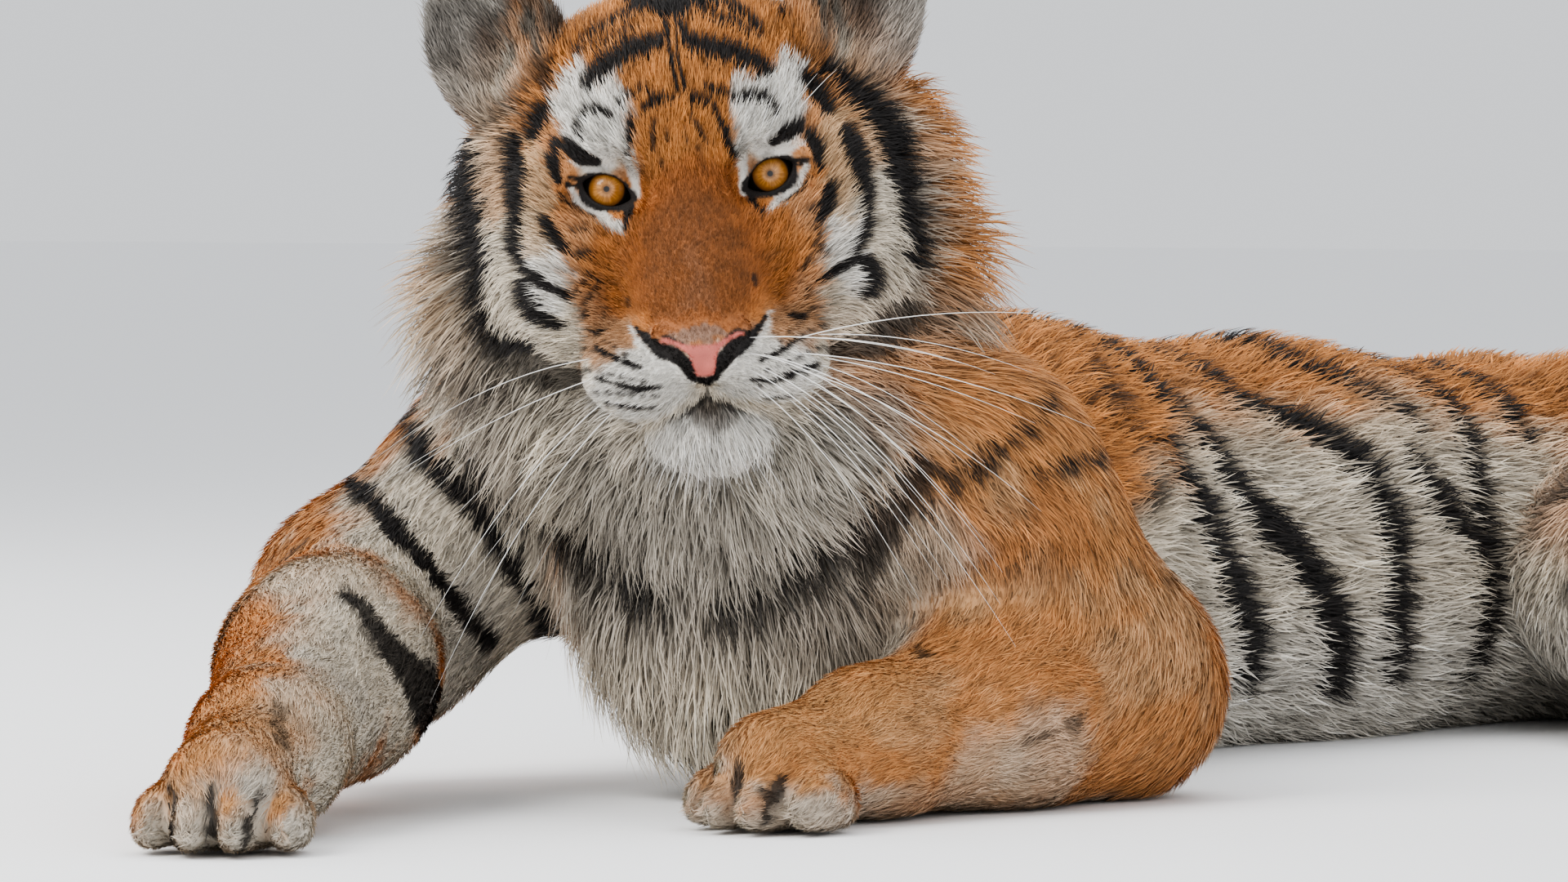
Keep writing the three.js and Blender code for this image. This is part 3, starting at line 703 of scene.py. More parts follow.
# %% Strokes of the face
NOSTRIL_EDGE = [(47, -106), (40, -115), (31, -123), (21, -129), (14, -136), (8, -145), (0, -150)]
face_strokes = [Stroke(*s) for s in [
    # forehead
    ([(-66, 78), (-47, 92), (-29, 99), (-9, 104), (-5, 113)], [5.0, 9.0, 8.6, 7.6, 3]),
    ([(-73, 106), (-62, 114), (-43, 123), (-26, 129), (-13, 132)], [1.8, 3.0, 3.6, 3.8, 4.4]),
    ([(-73, 101), (-50, 108), (-28, 116)], [1.6, 2.4, 2.2], 0.9),
    ([(5, 113), (11, 101), (25, 94), (45, 88), (64, 75)], [3, 7.4, 8.2, 7.6, 5.0]),
    ([(15, 129), (31, 118), (47, 110), (60, 99)], [3.4, 3.4, 3.0, 2]),
    ([(19, 133), (38, 128), (52, 119), (62, 106)], [3.2, 3.4, 3.2, 2.8]),
    ([(-30, 139), (-12, 132), (0, 129), (14, 132), (32, 139)], [6, 7, 10, 7, 6]),
    ([(-6, 118), (-4, 92), (-1, 62)], [1.3, 1.1, 1.8]),
    ([(2, 114), (1, 92), (4, 66)], [1.1, 0.9, 1.4]),
    ([(-44, 61), (-36, 67), (-23, 69)], [1.6, 2.8, 1.9]),
    ([(-26, 56), (-15, 61), (-6, 61)], [3.4, 4.6, 2.8]),
    ([(7, 60), (16, 57), (24, 53)], [1.8, 3.4, 2.2]),
    ([(20, 66), (31, 62), (38, 57)], [2.5, 3.8, 2.0]),
    ([(-109, 98), (-93, 101)], [5, 5], 0.55),
    ([(-151, 50), (-138, 63), (-116, 84), (-100, 101)], [4, 5, 5, 4], 0.6),
    ([(-92, 126), (-80, 136), (-60, 146)], [3.6, 4.8, 3.6]),
    ([(84, 120), (72, 130), (54, 142)], [3.6, 4.8, 3.6]),
    ([(84, 96), (98, 88), (110, 78)], [3, 4, 3], 0.5),
    # over the eyes
    ([(-77, 42), (-74, 53), (-63, 60), (-52, 54)], [1.4, 2.4, 3.0, 1.4]),
    ([(-60, 42), (-57, 24)], [1.4, 1.2], 0.4),
    ([(44, 58), (58, 57), (68, 46)], [2.4, 3.8, 2.4]),
    ([(-87, 34), (-77, 26), (-66, 21)], [4.9, 6.2, 3.5]),
    ([(66, 23), (76, 29), (84, 32)], [3.5, 5.9, 5.7]),
    ([(-35, 54), (-38, 40), (-41, 26)], [1.4, 2.6, 1.6]),
    ([(23, 52), (29, 35), (34, 16)], [1.6, 2.8, 2.0]),
    ([(-19, 47), (-22, 36), (-23, 24)], [1.2, 1.4, 0.9], 0.85),
    ([(-12, 35), (-12, 29)], [1.4, 1.2], 0.8),
    ([(-17, 16), (-18, 12)], [1.2, 1.0], 0.6),
    ([(1, 41), (2, 27)], [1.1, 1.1], 0.8),
    ([(7, 46), (12, 35), (18, 24)], [1.4, 1.6, 1.0], 0.85),
    ([(-31, 14), (-33, 9)], [1.3, 1.1], 0.6),
    ([(9, 24), (11, 18)], [1.0, 1.0], 0.5),
    # beside the eyes
    ([(-100, 66), (-106, 57), (-111, 45)], [6.8, 9.5, 6.8]),
    ([(-97, 100), (-98, 84)], [6.1, 5.4], 0.8),
    ([(92, 70), (100, 57), (107, 42)], [6.8, 9.5, 6.8]),
    ([(-94, 36), (-98, 23), (-97, 9)], [3.6, 5, 3.6]),
    ([(92, 27), (97, 14), (99, 2)], [3.6, 5, 3.6]),
    ([(-97, -2), (-85, -12), (-71, -22)], [1.4, 2.2, 1.4]),
    ([(91, -6), (82, -16), (68, -23)], [1.4, 2.2, 1.4]),
    ([(-107, -19), (-103, -31), (-96, -41)], [4.3, 5.9, 4.1]),
    ([(104, -14), (101, -26), (95, -37)], [4.3, 5.9, 4.1]),
    ([(-88, 11), (-80, 9), (-73, 9)], [1.2, 1.8, 1.8]),
    ([(75, 6), (82, 8), (89, 9)], [1.8, 1.8, 1.2]),
    ([(-44.5, -7), (-45.5, -19), (-48.5, -32)], [3.2, 3.2, 1.2]),
    ([(45, -7), (46.5, -19), (53, -31)], [3.2, 3.2, 1.2]),
    ([(-90, 6), (-83, 4)], [1.6, 2.4]),
    ([(84, 5), (91, 8)], [2.4, 1.6]),
    # cheek spots
    ([(-88, -30), (-78, -30)], [2.2, 2.0], 0.8),
    ([(-87, -47), (-78, -48)], [2.4, 2.4], 0.9),
    ([(-97, -79), (-79, -63)], [1.4, 2.0], 0.9),
    ([(-72, -68), (-82, -81), (-85, -93)], [2.0, 2.0, 1.8], 0.9),
    ([(-70, -88), (-72, -96)], [1.6, 1.6], 0.7),
    ([(88, -30), (95, -34)], [2.4, 2.2], 0.85),
    ([(90, -44), (93, -50)], [2.0, 1.8], 0.85),
    ([(90, -57), (97, -63)], [2.4, 2.0], 0.85),
    ([(84, -66), (78, -74)], [1.8, 1.8], 0.8),
    ([(82, -86), (80, -94)], [1.6, 1.6], 0.8),
    # long cheek stripes
    ([(-127, 44), (-126, 16), (-127, -11), (-130, -32), (-126, -51), (-114, -64), (-97, -76)],
     [6.8, 9.5, 7.4, 5.7, 4.9, 4.1, 3]),
    ([(-127, -66), (-125, -78), (-117, -89), (-102, -97)], [6.1, 6.1, 5.4, 3.4]),
    ([(120, 24), (124, 2), (128, -13), (128, -30), (123, -52), (116, -67), (105, -74), (93, -81)],
     [6.8, 8.8, 6.8, 4.6, 4.1, 3.5, 3, 2.2]),
    ([(124, -72), (127, -86), (118, -96)], [6.1, 6.8, 3.5]),
    ([(-160, 44), (-162, 16), (-160, -11), (-160, -36), (-160, -56), (-162, -80), (-150, -99),
      (-124, -109)],
     [6.8, 9.5, 10.1, 10.8, 10.1, 8.1, 6.8, 4.1]),
    ([(112, 76), (132, 54), (148, 31), (153, 3), (156, -23), (159, -48), (161, -74)],
     [6.8, 10.8, 12.2, 11.5, 10.8, 9.5, 6.8]),
    ([(150, -68), (161, -76)], [3.6, 4.8]),
    # dark hair behind the whiskers, with painted shade under the cheek where the ruff starts
    ([(-150, -108), (-118, -128), (-92, -134)], [12.2, 12.2, 5.4], 0.8),
    ([(146, -112), (120, -130), (92, -134)], [12.2, 12.2, 5.4], 0.8),
    # muzzle
    ([(-78, -108), (-71, -106)], [2.0, 1.6]),
    ([(-77, -118), (-72, -122)], [2.3, 2.3]),
    ([(-67, -124.5), (-62, -128)], [1.9, 1.9]),
    ([(-58, -130), (-47, -135)], [1.7, 1.2]),
    ([(-79, -139), (-69, -143.5), (-57, -148), (-45, -150.5), (-33, -150)], [0.9, 1.5, 1.8, 1.6, 0.9]),
    ([(-73, -157.5), (-55, -162.5), (-40, -163.5)], [0.9, 1.2, 0.9]),
    ([(65, -107.5), (75, -111)], [1.6, 2.1]),
    ([(42, -138), (52, -134.5), (62, -129.5), (72, -124)], [1.1, 1.7, 2.1, 1.9]),
    ([(33, -151.5), (48, -153), (64, -149.5), (80, -144.5)], [1.1, 1.7, 2.1, 1.5]),
    ([(41, -165), (61, -164)], [0.9, 0.9]),
    # nostrils and mouth
    *[([(side * x, z) for x, z in NOSTRIL_EDGE], [1.2, 3.2, 5.0, 6.2, 5.6, 3.8, 2.2]) for side in (-1, 1)],
    ([(-51, -84), (-50, -90)], [1.3, 1.3], 0.8),
    ([(41, -76), (42, -84)], [1.3, 1.3], 0.8),
    ([(-34, -119), (-30, -115), (-24, -115.5), (-14, -121.5)], [0.9, 1.0, 0.9, 0.5], 0.9),
    ([(34, -119), (30, -115), (24, -115.5), (14, -121.5)], [0.9, 1.0, 0.9, 0.5], 0.9),
    ([(0, -150), (-0.5, -163)], [1.5, 1.3], 0.8),
    ([(-1, -161), (-8, -167), (-18, -173), (-34, -177)], [1.8, 1.9, 1.6, 0.8], 0.85),
    ([(-1, -161), (8, -167), (19, -173), (38, -178)], [1.8, 1.9, 1.6, 0.8], 0.85),
]]

# %% [markdown]
# A row of dark dots runs along each line of whiskers, one dot at the foot of each. The muzzle and
# the rims of the eyes also have white strokes, which lie under the black ones.

# %% Dots and white strokes
DOT_ROWS = [
    # front end, back end, how many dots
    ((-56, -126), (-82, -104), 5),
    ((-50, -136), (-84, -118), 6),
    ((-44, -146), (-82, -134), 6),
    ((-38, -157), (-78, -150), 6),
]
for front, back, count in DOT_ROWS:
    for side in (1, -1):
        for x, z in np.linspace(front, back, count):
            face_strokes.append(Stroke([(side * x, z), (side * (x - 2.4), z + 1.2)], [0.9, 1.2], 0.8))

white_strokes = [Stroke(*s) for s in [
    ([(-88, 3), (-77, -11), (-65, -22), (-54, -31)], [3.0, 5.6, 7.0, 4.4]),
    ([(88, 2), (78, -10), (68, -20), (58, -28)], [3.0, 5.6, 7.0, 4.4]),
    ([(-42, 30), (-39, 12), (-38, -8)], [6, 5, 3.5]),
    ([(42, 30), (40, 10), (40, -12)], [6, 5, 3.5]),
    ([(-51, -104), (-45, -117), (-34, -131)], [2, 3.6, 5]),
    ([(51, -104), (45, -117), (34, -131)], [2, 3.6, 5]),
    ([(-88, 22), (-74, 17), (-60, 16)], [2, 3.5, 3]),
    ([(88, 21), (76, 17), (62, 17)], [2, 3.5, 3]),
]]

# %% [markdown]
# The body's strokes are places in the plan. The right flank wears the left one's strokes turned
# over the spine and slid along a little. Rings cross the thighs and the tail.


# %% Strokes of the body
# Left legs lie at a larger x than this, and right legs at a smaller one.
LEGS_PART = 60
RIGHT_FLANK_SLIDE = 34
SPINE_Y, SPINE_X = [-80, 240, 600, 930], [-12, -62, -28, 70]


def spine_x(y):
    return np.interp(y, SPINE_Y, SPINE_X)


def turned_over(places, along):
    """The same places on the other side of the spine, slid along it."""
    return [(2 * spine_x(y) - x, y + along, z) for x, y, z in places]


flank = [
    ([(22, 242, 338), (44, 238, 326), (63, 231, 313), (84, 225, 293), (98, 221, 276), (110, 221, 257)],
     [1, 2.5, 3.5, 4.5, 3, 1], 0.8),
    ([(60, 180, 314), (85, 196, 293), (92, 212, 284)], [1, 2, 1], 0.6),
    ([(111, 264, 251), (125, 286, 209), (128, 322, 153), (120, 368, 112), (99, 408, 60)],
     [8.8, 13.8, 13.8, 13.8, 11.2]),
    ([(-52, 215, 350), (12, 304, 336), (71, 299, 299), (99, 330, 260), (120, 372, 205), (129, 434, 161),
      (131, 482, 114), (115, 517, 55)], [6.5, 7.5, 10, 12.5, 15, 15, 15, 13.8]),
    ([(-62, 370, 348), (12, 429, 319), (65, 434, 289), (97, 500, 265), (127, 542, 234), (145, 552, 193),
      (150, 558, 124), (134, 584, 63)], [6.5, 7.5, 8.8, 11.2, 12.5, 13.8, 13.8, 11.2]),
    ([(-60, 520, 342), (-20, 575, 331), (40, 567, 317), (92, 617, 290), (128, 640, 262)],
     [6.5, 8.8, 8.8, 10, 5]),
    ([(-40, 650, 340), (10, 690, 326), (62, 708, 302), (108, 714, 276), (139, 702, 243), (150, 683, 200),
      (150, 690, 120), (140, 700, 60)], [6.5, 7.5, 10, 10, 10, 10, 10, 8.8]),
    ([(132, 601, 241), (152, 622, 203), (164, 667, 160)], [6.5, 11.2, 7.5]),
    ([(-20, 750, 335), (50, 790, 318), (118, 790, 276), (150, 777, 250)], [6.5, 8.8, 10, 8.8]),
]
marks = [
    # left shoulder and foreleg
    ([(210, -226, 238), (228, -214, 259), (243, -193, 278), (250, -174, 290)], [-2, 0, 0, -2], 0.9),
    ([(200, -229, 222), (235, -210, 250), (252, -184, 275), (257, -160, 288), (251, -129, 305),
      (236, -105, 318)],
     [-1.5, 1, 1.5, 1, 0, -2], 0.95),
    ([(262, -178, 248), (272, -145, 256), (270, -95, 261), (252, -66, 269), (248, -73, 282)],
     [-1, 2, 2.5, 2, -1], 0.95),
    ([(127, 207, 213), (121, 232, 230)], [5, 4], 0.8),
    ([(299, -50, 165), (286, -7, 164)], [0, 1], 0.6),
    ([(287, -217, 56), (304, -173, 69)], [0, 1], 0.6),
    ([(215, -268, 160), (228, -260, 128)], [-1, 0], 0.8),
    # right shoulder and foreleg
    ([(-272, -330, 254), (-240, -345, 234), (-170, -373, 193), (-144, -347, 147), (-153, -293, 117)],
     [3, 6, 8, 6, 4]),
    ([(-259, -257, 287), (-193, -314, 253), (-152, -308, 216), (-133, -285, 166), (-165, -206, 119)],
     [4, 7, 7, 6, 5]),
    ([(-119, -510, 164), (-99, -512, 148), (-83, -505, 124), (-83, -475, 99), (-114, -419, 71)],
     [5, 8, 15, 22, 20], 0.95),
    ([(-129, -506, 171), (-82, -528, 126)], [2, 3], 0.6),
    ([(-24, -700, 112), (-1, -735, 76)], [4, 6], 0.6),
    ([(-232, -250, 276), (-272, -200, 210)], [5, 7], 0.8),
    ([(-206, -150, 304), (-270, -120, 220), (-286, -90, 140)], [4, 7, 6], 0.8),
    ([(-60, 60, 400), (-150, 80, 350), (-200, 90, 270), (-206, 100, 200)], [3, 6, 6, 4], 0.9),
    ([(-70, -20, 420), (-170, 0, 360), (-230, 10, 280)], [3, 5, 4], 0.85),
    ([(-20, 130, 380), (-80, 150, 345), (-110, 160, 290)], [3, 5, 3], 0.85),
    # outer side of the right foreleg
    ([(-236, -236, 250), (-300, -240, 190), (-324, -250, 120)], [4, 7, 5], 0.9),
    ([(-262, -290, 236), (-318, -330, 180), (-330, -340, 110)], [4, 6, 4], 0.9),
    ([(-240, -420, 200), (-262, -450, 140), (-250, -440, 80)], [4, 5, 3], 0.8),
    ([(-200, -520, 150), (-206, -540, 100)], [4, 4], 0.7),
    # chest
    ([(-170, -300, 262), (-149, -301, 235), (-104, -280, 204), (-39, -293, 176), (13, -289, 146)],
     [6, 9, 10, 9, 6], 0.95),
    ([(204, -230, 262), (187, -238, 241), (134, -247, 190), (85, -264, 156), (51, -279, 140)],
     [5, 7, 9, 8, 6], 0.9),
    ([(213, -224, 253), (170, -236, 204), (143, -228, 165)], [4, 7, 5], 0.85),
]
body_strokes = [Stroke(*s) for s in [*flank, *marks]]
body_strokes += [Stroke(turned_over(s[0], RIGHT_FLANK_SLIDE), *s[1:]) for s in flank]


# %% Rings across a leg, and the way along the tail
def rings(p, a, b, spacing, share, start=0.0):
    """Bands across the line from a to b, wobbled by noise; one is dark, zero is not."""
    a, b = np.asarray(a, float), np.asarray(b, float)
    ab = b - a
    along = (p - a) @ ab / np.linalg.norm(ab) + 16 * noise(p, 60) + 10 * noise(p, 22)
    wave = np.abs((along / spacing + start) % 1 - 0.5) * 2
    return smooth((share - wave) * spacing / 16 + 0.5)


tail_fine = even_curve(TAIL_PLACES, 120)
tail_walk = np.linspace(0, np.linalg.norm(np.diff(tail_fine, axis=0), axis=1).sum(), 121)


def tail_along(p):
    """How far along the tail each point is, in millimetres."""
    parts = np.array_split(p, max(1, len(p) // 20000))
    nearest = [((part[:, None] - tail_fine[None]) ** 2).sum(2).argmin(1) for part in parts]
    return tail_walk[np.concatenate(nearest)]


# %% [markdown]
# The creases between the toes get painted shade: dark lines over the front of each paw.
# Every stroke of the body is then slid along the slope of the skin's field until it lies on the skin,
# or its ink would miss.

# %% Painted shade in the toe creases, and the strokes laid on the skin
TOE_GAPS = (-1, 0, 1)


# Painted shade: a dark line down the crease between two toes.
def toe_crease_shade(wrist, toes, size):
    ahead = np.subtract(toes, wrist)
    turn = math.atan2(ahead[0], -ahead[1])
    where = Matrix.Translation((toes[0], toes[1], 0)) @ Matrix.Rotation(turn, 4, "Z")
    shape = [(0, -0.78, 0.10), (0, -0.78, 0.36), (0, -0.62, 0.56), (0, -0.44, 0.78)]
    lines = []
    for k in TOE_GAPS:
        places = [placed(where, ((k * 0.52 + x) * size, y * size, z * size)) for x, y, z in shape]
        lines.append(Stroke(places, [1.5, 4, 3, -1], 0.9))
    return lines


body_strokes += toe_crease_shade([208, -300, 56], [202, -420, 60], 62)
body_strokes += toe_crease_shade([-80, -654, 62], [-14, -784, 60], 62)
body_strokes += toe_crease_shade([320, 905, 40], [336, 650, 50], 56)
body_strokes += toe_crease_shade([-196, 940, 40], [-246, 690, 50], 56)


def lay_on_skin(strokes):
    points = np.vstack([s.points for s in strokes])
    for _ in range(4):
        points -= slope(points, 1.5) * np.clip(skin_field(points), -25, 25)[:, None]
    ends = np.cumsum([len(s.points) for s in strokes])[:-1]
    for stroke, own in zip(strokes, np.split(points, ends)):
        stroke.lay(own)


lay_on_skin(body_strokes)
print(len(face_strokes), "strokes on the face,", len(body_strokes), "on the body")

# %% [markdown]
# Soft dabs of colour come first. On the face they are ellipses in its front view; over the body the
# back is orange, the flanks and belly turn cream, and the outer sides of the legs are orange.

# %% Colours, as fractions of light sent back
ORANGE = np.array([0.56, 0.235, 0.072])
RUSSET = np.array([0.36, 0.125, 0.036])
TAN = np.array([0.60, 0.42, 0.25])
CREAM = np.array([0.70, 0.62, 0.50])
WHITE = np.array([0.80, 0.77, 0.71])
GREY = np.array([0.43, 0.40, 0.355])
SOOT = np.array([0.075, 0.06, 0.05])
BLACK = np.array([0.016, 0.013, 0.012])
PINK = np.array([0.58, 0.165, 0.135])
BROWN = np.array([0.235, 0.086, 0.027])
GREY_BROWN = np.array([0.395, 0.335, 0.275])
GREY_TAN = np.array([0.53, 0.46, 0.37])

# %% Dabs of the face and legs
def both(x, *facts):
    """The same dab on the right and on the left."""
    return [(-x, *facts), (x, *facts)]


face_dabs = [
    # x, z, half x, half z, colour, strength
    (0, 92, 108, 66, ORANGE, 1.0),
    *both(40, -52, 34, 66, ORANGE, 1.0),
    (0, 26, 36, 60, ORANGE, 1.0),
    *both(104, 40, 26, 54, ORANGE, 0.9),
    *both(82, -30, 30, 40, ORANGE, 0.85),
    *both(66, -78, 26, 40, ORANGE, 0.8),
    *both(54, -62, 22, 42, RUSSET, 0.45),
    (0, -18, 34, 36, RUSSET, 0.7),
    (0, -56, 54, 66, RUSSET, 0.75),
    (0, -62, 38, 56, BROWN, 0.85),
    (-67, -117, 22, 22, TAN * 0.45 + RUSSET * 0.5, 0.9),
    (67, -116, 22, 22, TAN * 0.45 + RUSSET * 0.5, 0.9),
    (-62, 48, 27, 34, WHITE, 1.0),
    (64, 44, 27, 32, WHITE, 1.0),
    (-76, 70, 16, 24, WHITE, 1.0),
    (78, 66, 16, 22, WHITE, 1.0),
    (-45, 62, 9, 20, WHITE, 0.9),
    (46, 58, 9, 18, WHITE, 0.9),
    (-112, -62, 15, 34, WHITE, 0.95),
    (110, -60, 15, 32, WHITE, 0.95),
    (-112, 0, 12, 46, TAN, 0.75),
    (112, 2, 12, 46, TAN, 0.75),
    (-143, 34, 16, 54, TAN * (1.0, 0.85, 0.75), 0.8),
    (138, 48, 18, 52, TAN * (1.0, 0.85, 0.75), 0.8),
    (-46, -148, 40, 23, WHITE, 1.0),
    (46, -146, 40, 23, WHITE, 1.0),
    (0, -200, 50, 28, WHITE, 1.0),
    (0, -112, 36, 14, BROWN + RUSSET * 0.3, 0.9),
    (0, -116, 24, 6, BROWN * 0.7 + GREY * 0.3, 0.9),
    (0, -176, 15, 9, SOOT * 1.5, 0.7),
    (0, -167, 8, 7, SOOT, 0.8),
]
leg_dabs = [
    # place in the plan, radius, colour, strength
    ((192, -212, 192), 44, GREY_TAN, 0.7),
    ((150, -220, 156), 46, GREY_TAN, 0.8),
    ((122, -222, 122), 40, GREY_TAN, 0.8),
    ((262, -175, 205), 50, RUSSET, 0.35),
    ((298, -196, 36), 50, CREAM * 0.8 + ORANGE * 0.15, 0.6),
    ((262, -244, 30), 40, CREAM * 0.8 + ORANGE * 0.15, 0.45),
    ((215, -330, 110), 56, TAN * (0.95, 0.70, 0.48), 0.7),
    ((-160, -504, 181), 50, CREAM * 0.95, 0.8),
    ((-80, -560, 128), 50, CREAM * 0.85, 0.75),
    ((-24, -632, 80), 46, CREAM * 0.9, 0.8),
    ((-190, -560, 140), 40, ORANGE, 0.7),
    ((-95, -690, 100), 44, ORANGE, 0.7),
]


print(len(face_dabs), "dabs on the face,", len(leg_dabs), "on the legs")

# %% [markdown]
# Each part of the body has a colour of its own at every point, and the shares of the forms mix them,
# so no part ends at a line. Noise of three sizes roughens every edge between two colours.


# %% What every colour works from
class Spots:
    """Points of the coat, in the plan and in the head's frame, with noise of three sizes."""

    def __init__(self, p, normal, weight):
        self.p, self.h, self.normal = p, to_head(p), normal
        self.part = {kind: weight[:, k] for k, kind in enumerate(KINDS)}
        self.fine, self.broad, self.wide = noise(p, 7), noise(p, 26, 3.3), noise(p, 90, 7.7)

    def plain(self, colour):
        """The same colour at every point."""
        return np.tile(colour, (len(self.p), 1))


def mix(under, over, amount):
    return under + (over - under) * amount[:, None]


# %% Trunk, haunches, neck and tail
def trunk_colour(c):
    """Orange along the back, then tan, then cream, and white under the belly."""
    z = c.p[:, 2]
    back_line = np.interp(c.p[:, 1], [-100, 120, 300, 700, 950, 1100], [110, 190, 272, 276, 210, 120])
    trunk = mix(c.plain(CREAM), WHITE, 0.6 * smooth((150 - z) / 90))
    trunk = mix(trunk, TAN, 0.6 * smooth((z - back_line + 60) / 70))
    return mix(trunk, ORANGE, smooth((z - back_line + 44 * (c.broad - 0.5)) / 62 + 0.5))


def haunch_colour(c, trunk):
    return mix(trunk, ORANGE, 0.55 * smooth((c.p[:, 2] - 130) / 60 + 0.5 * (c.broad - 0.5)))


def neck_colour(c):
    """A grey chest, paler low down, under an orange nape."""
    grey_cream = mix(CREAM[None], GREY, np.array([0.62]))
    chest = mix(c.plain(grey_cream), CREAM, smooth((150 - c.p[:, 2]) / 70))
    nape = c.p[:, 2] - 250 + 0.55 * (c.p[:, 1] + 160) + 40 * (c.broad - 0.5)
    return mix(chest, ORANGE, smooth(nape / 60 + 0.5))


def tail_colour(c):
    return mix(c.plain(CREAM), ORANGE, smooth(c.normal[:, 2] + 0.4))


# %% Legs and paws
def outer_side(c):
    """How far each point of a leg looks away from the body."""
    outward = c.normal[:, 0] * np.sign(c.p[:, 0] - spine_x(c.p[:, 1]))
    return smooth(0.62 + 0.9 * outward + 0.35 * c.normal[:, 2] + 0.5 * (c.broad - 0.5))


def leg_colour(c, outer):
    """Orange outside and pale inside. The right forearm lies across, so its top is an inner side."""
    orange = mix(c.plain(ORANGE), TAN, 0.15 + 0.35 * smooth((c.broad + c.wide - 0.9) * 2.5))
    pale = mix(c.plain(CREAM), GREY, 0.45 * smooth(2 * c.wide - 0.5) + 0.3 * c.fine)
    reach_in = 0.12 + 0.40 * smooth((c.p[:, 1] + 430) / 120)
    roughness = 0.9 * (c.broad - 0.5) + 0.3 * (c.fine - 0.5)
    inner = c.normal[:, 0] + reach_in - 1.1 * np.maximum(c.normal[:, 1], 0) + roughness
    right_foreleg = (c.p[:, 0] < LEGS_PART) * (c.p[:, 1] < 100) * 1.0
    leg = mix(mix(pale, orange, outer), mix(orange, pale, smooth(inner / 0.7)), right_foreleg)
    for place, radius, patch, strength in leg_dabs:
        far = np.linalg.norm(c.p - place, axis=1) + 26 * (c.broad - 0.5) + 12 * (c.fine - 0.5)
        leg = mix(leg, patch, strength * smooth((1.25 * radius - far) / (0.6 * radius)))
    return leg


def paw_colour(c, leg):
    """Tan on top, and a greyer edge where the toes meet the floor."""
    paw = mix(leg, TAN * (0.85, 0.66, 0.48), 0.75 * smooth(1.5 * c.normal[:, 2] + c.broad - 0.5))
    low_edge = 44 - c.p[:, 2] + 26 * (c.broad - 0.5) + 14 * (c.fine - 0.5)
    return mix(paw, CREAM * 0.5 + GREY * 0.5, 0.85 * smooth(low_edge / 26))


# %% Face
def face_colour(c):
    """The dabs with ragged edges, then the white strokes, then streaks that run out from the nose."""
    front = c.h[:, [0, 2]]
    wobble = np.column_stack([noise(c.p, 13, 1.1), noise(c.p, 13, 5.5)]) - 0.5
    ragged = np.column_stack([noise(c.p, 4, 1.1), noise(c.p, 4, 5.5)]) - 0.5
    q = front + 12 * wobble + 7 * ragged
    face = c.plain(CREAM)
    for x, z, half_x, half_z, colour, strength in face_dabs:
        r = np.hypot((q[:, 0] - x) / half_x, (q[:, 1] - z) / half_z)
        face = mix(face, colour, strength * smooth((1.18 - r) / 0.36))
    face = mix(face, WHITE, inked(white_strokes, q * 0.35 + front * 0.65, c.fine - 0.5, 2.5))
    off = c.h - NOSE_TIP
    reach = np.linalg.norm(off, axis=1, keepdims=True)
    streak = noise(off / reach * 34 + reach / 15, 1.0, 2.0)
    return face * (0.74 + 0.36 * smooth(1.5 * streak - 0.2))[:, None]


def on_face(h):
    """The face and cheeks, as against the back of the head and the long ruff behind them."""
    edge = 100 - 50 * smooth((np.abs(h[:, 0]) - 100) / 60)
    return smooth((edge + 40 - h[:, 1]) / 60)


# %% Ruff and back of the head
def ruff_colour(c):
    """Combed cream and grey with sooty streaks, tan and orange toward its edge and the crown."""
    x, y, z = c.h.T
    combed = noise(c.h * (0.35, 0.6, 1) + c.h[:, [2]] * (0, 0, 0.4), 13, 8.1)
    pale = smooth(2.2 * combed - 0.5) * (0.45 + 0.55 * smooth(1.6 * c.broad - 0.3))
    ruff = mix(c.plain(GREY_BROWN), CREAM, pale)
    ruff = mix(ruff, SOOT, 0.7 * smooth((noise(c.h * (0.4, 0.6, 1), 16, 2.2) - 0.55) * 5))
    from_middle = np.hypot(x, z + 40)
    ruff = mix(ruff, TAN, 0.5 * smooth((from_middle - 168) / 30) * smooth((z + 150) / 80))
    left = smooth(x / 30)
    edge = smooth((from_middle - 176 + 12 * left + 30 * (c.broad - 0.5)) / 34)
    edge *= smooth((z + 95 + 45 * left) / 60)
    crown = smooth((z - 20 + 60 * (c.broad - 0.5)) / 70 + 0.5) * smooth((y - 60) / 50)
    behind = smooth((y - 130) / 60) * smooth((z + 90) / 90)
    warm = np.maximum(np.maximum(crown, edge * (0.45 + 0.5 * left)), behind)
    return mix(ruff, ORANGE, warm)


# %% Ears
def ear_colour(c):
    """Black behind with a white spot, grey in front with painted shade in its hollow, orange at the inner
    edge.
    """
    x, z = np.abs(c.h[:, 0]), c.h[:, 2]
    facing = -(c.normal @ head_axes)[:, 1]
    # Painted shade: the hollow of the ear cup darkens toward its middle.
    hollow = smooth((30 - np.hypot(x - 130, z - 122)) / 22) * (0.3 + c.fine)
    inside = mix(c.plain(GREY * 0.85), SOOT * 1.6, hollow)
    in_front = smooth((facing - 0.35) * 4) * (0.45 + 0.55 * smooth(2 * c.broad - 0.5))
    ear = mix(c.plain(BLACK * 1.5), inside, in_front)
    inner_edge = smooth((facing - 0.1) * 4) * smooth((138 - x - 0.25 * (z - 110)) / 26)
    streaks = smooth((noise(c.h * (1, 1, 0.5), 11, 6.1) - 0.35) * 4)[:, None]
    ear = mix(ear, ORANGE * streaks + BLACK * (1 - streaks), inner_edge)
    spot = np.linalg.norm(c.h - np.sign(c.h[:, [0]]) * (136, 0, 0) - (0, 96, 118), axis=1)
    return mix(ear, WHITE, smooth((28 - spot) / 8) * smooth(-facing * 3))


# %% [markdown]
# Black is the most that any marking gives: the face's strokes, the body's strokes, rings round the
# tail and thighs, and bands over the nape. The bare pad of the nose is then laid over all of it.


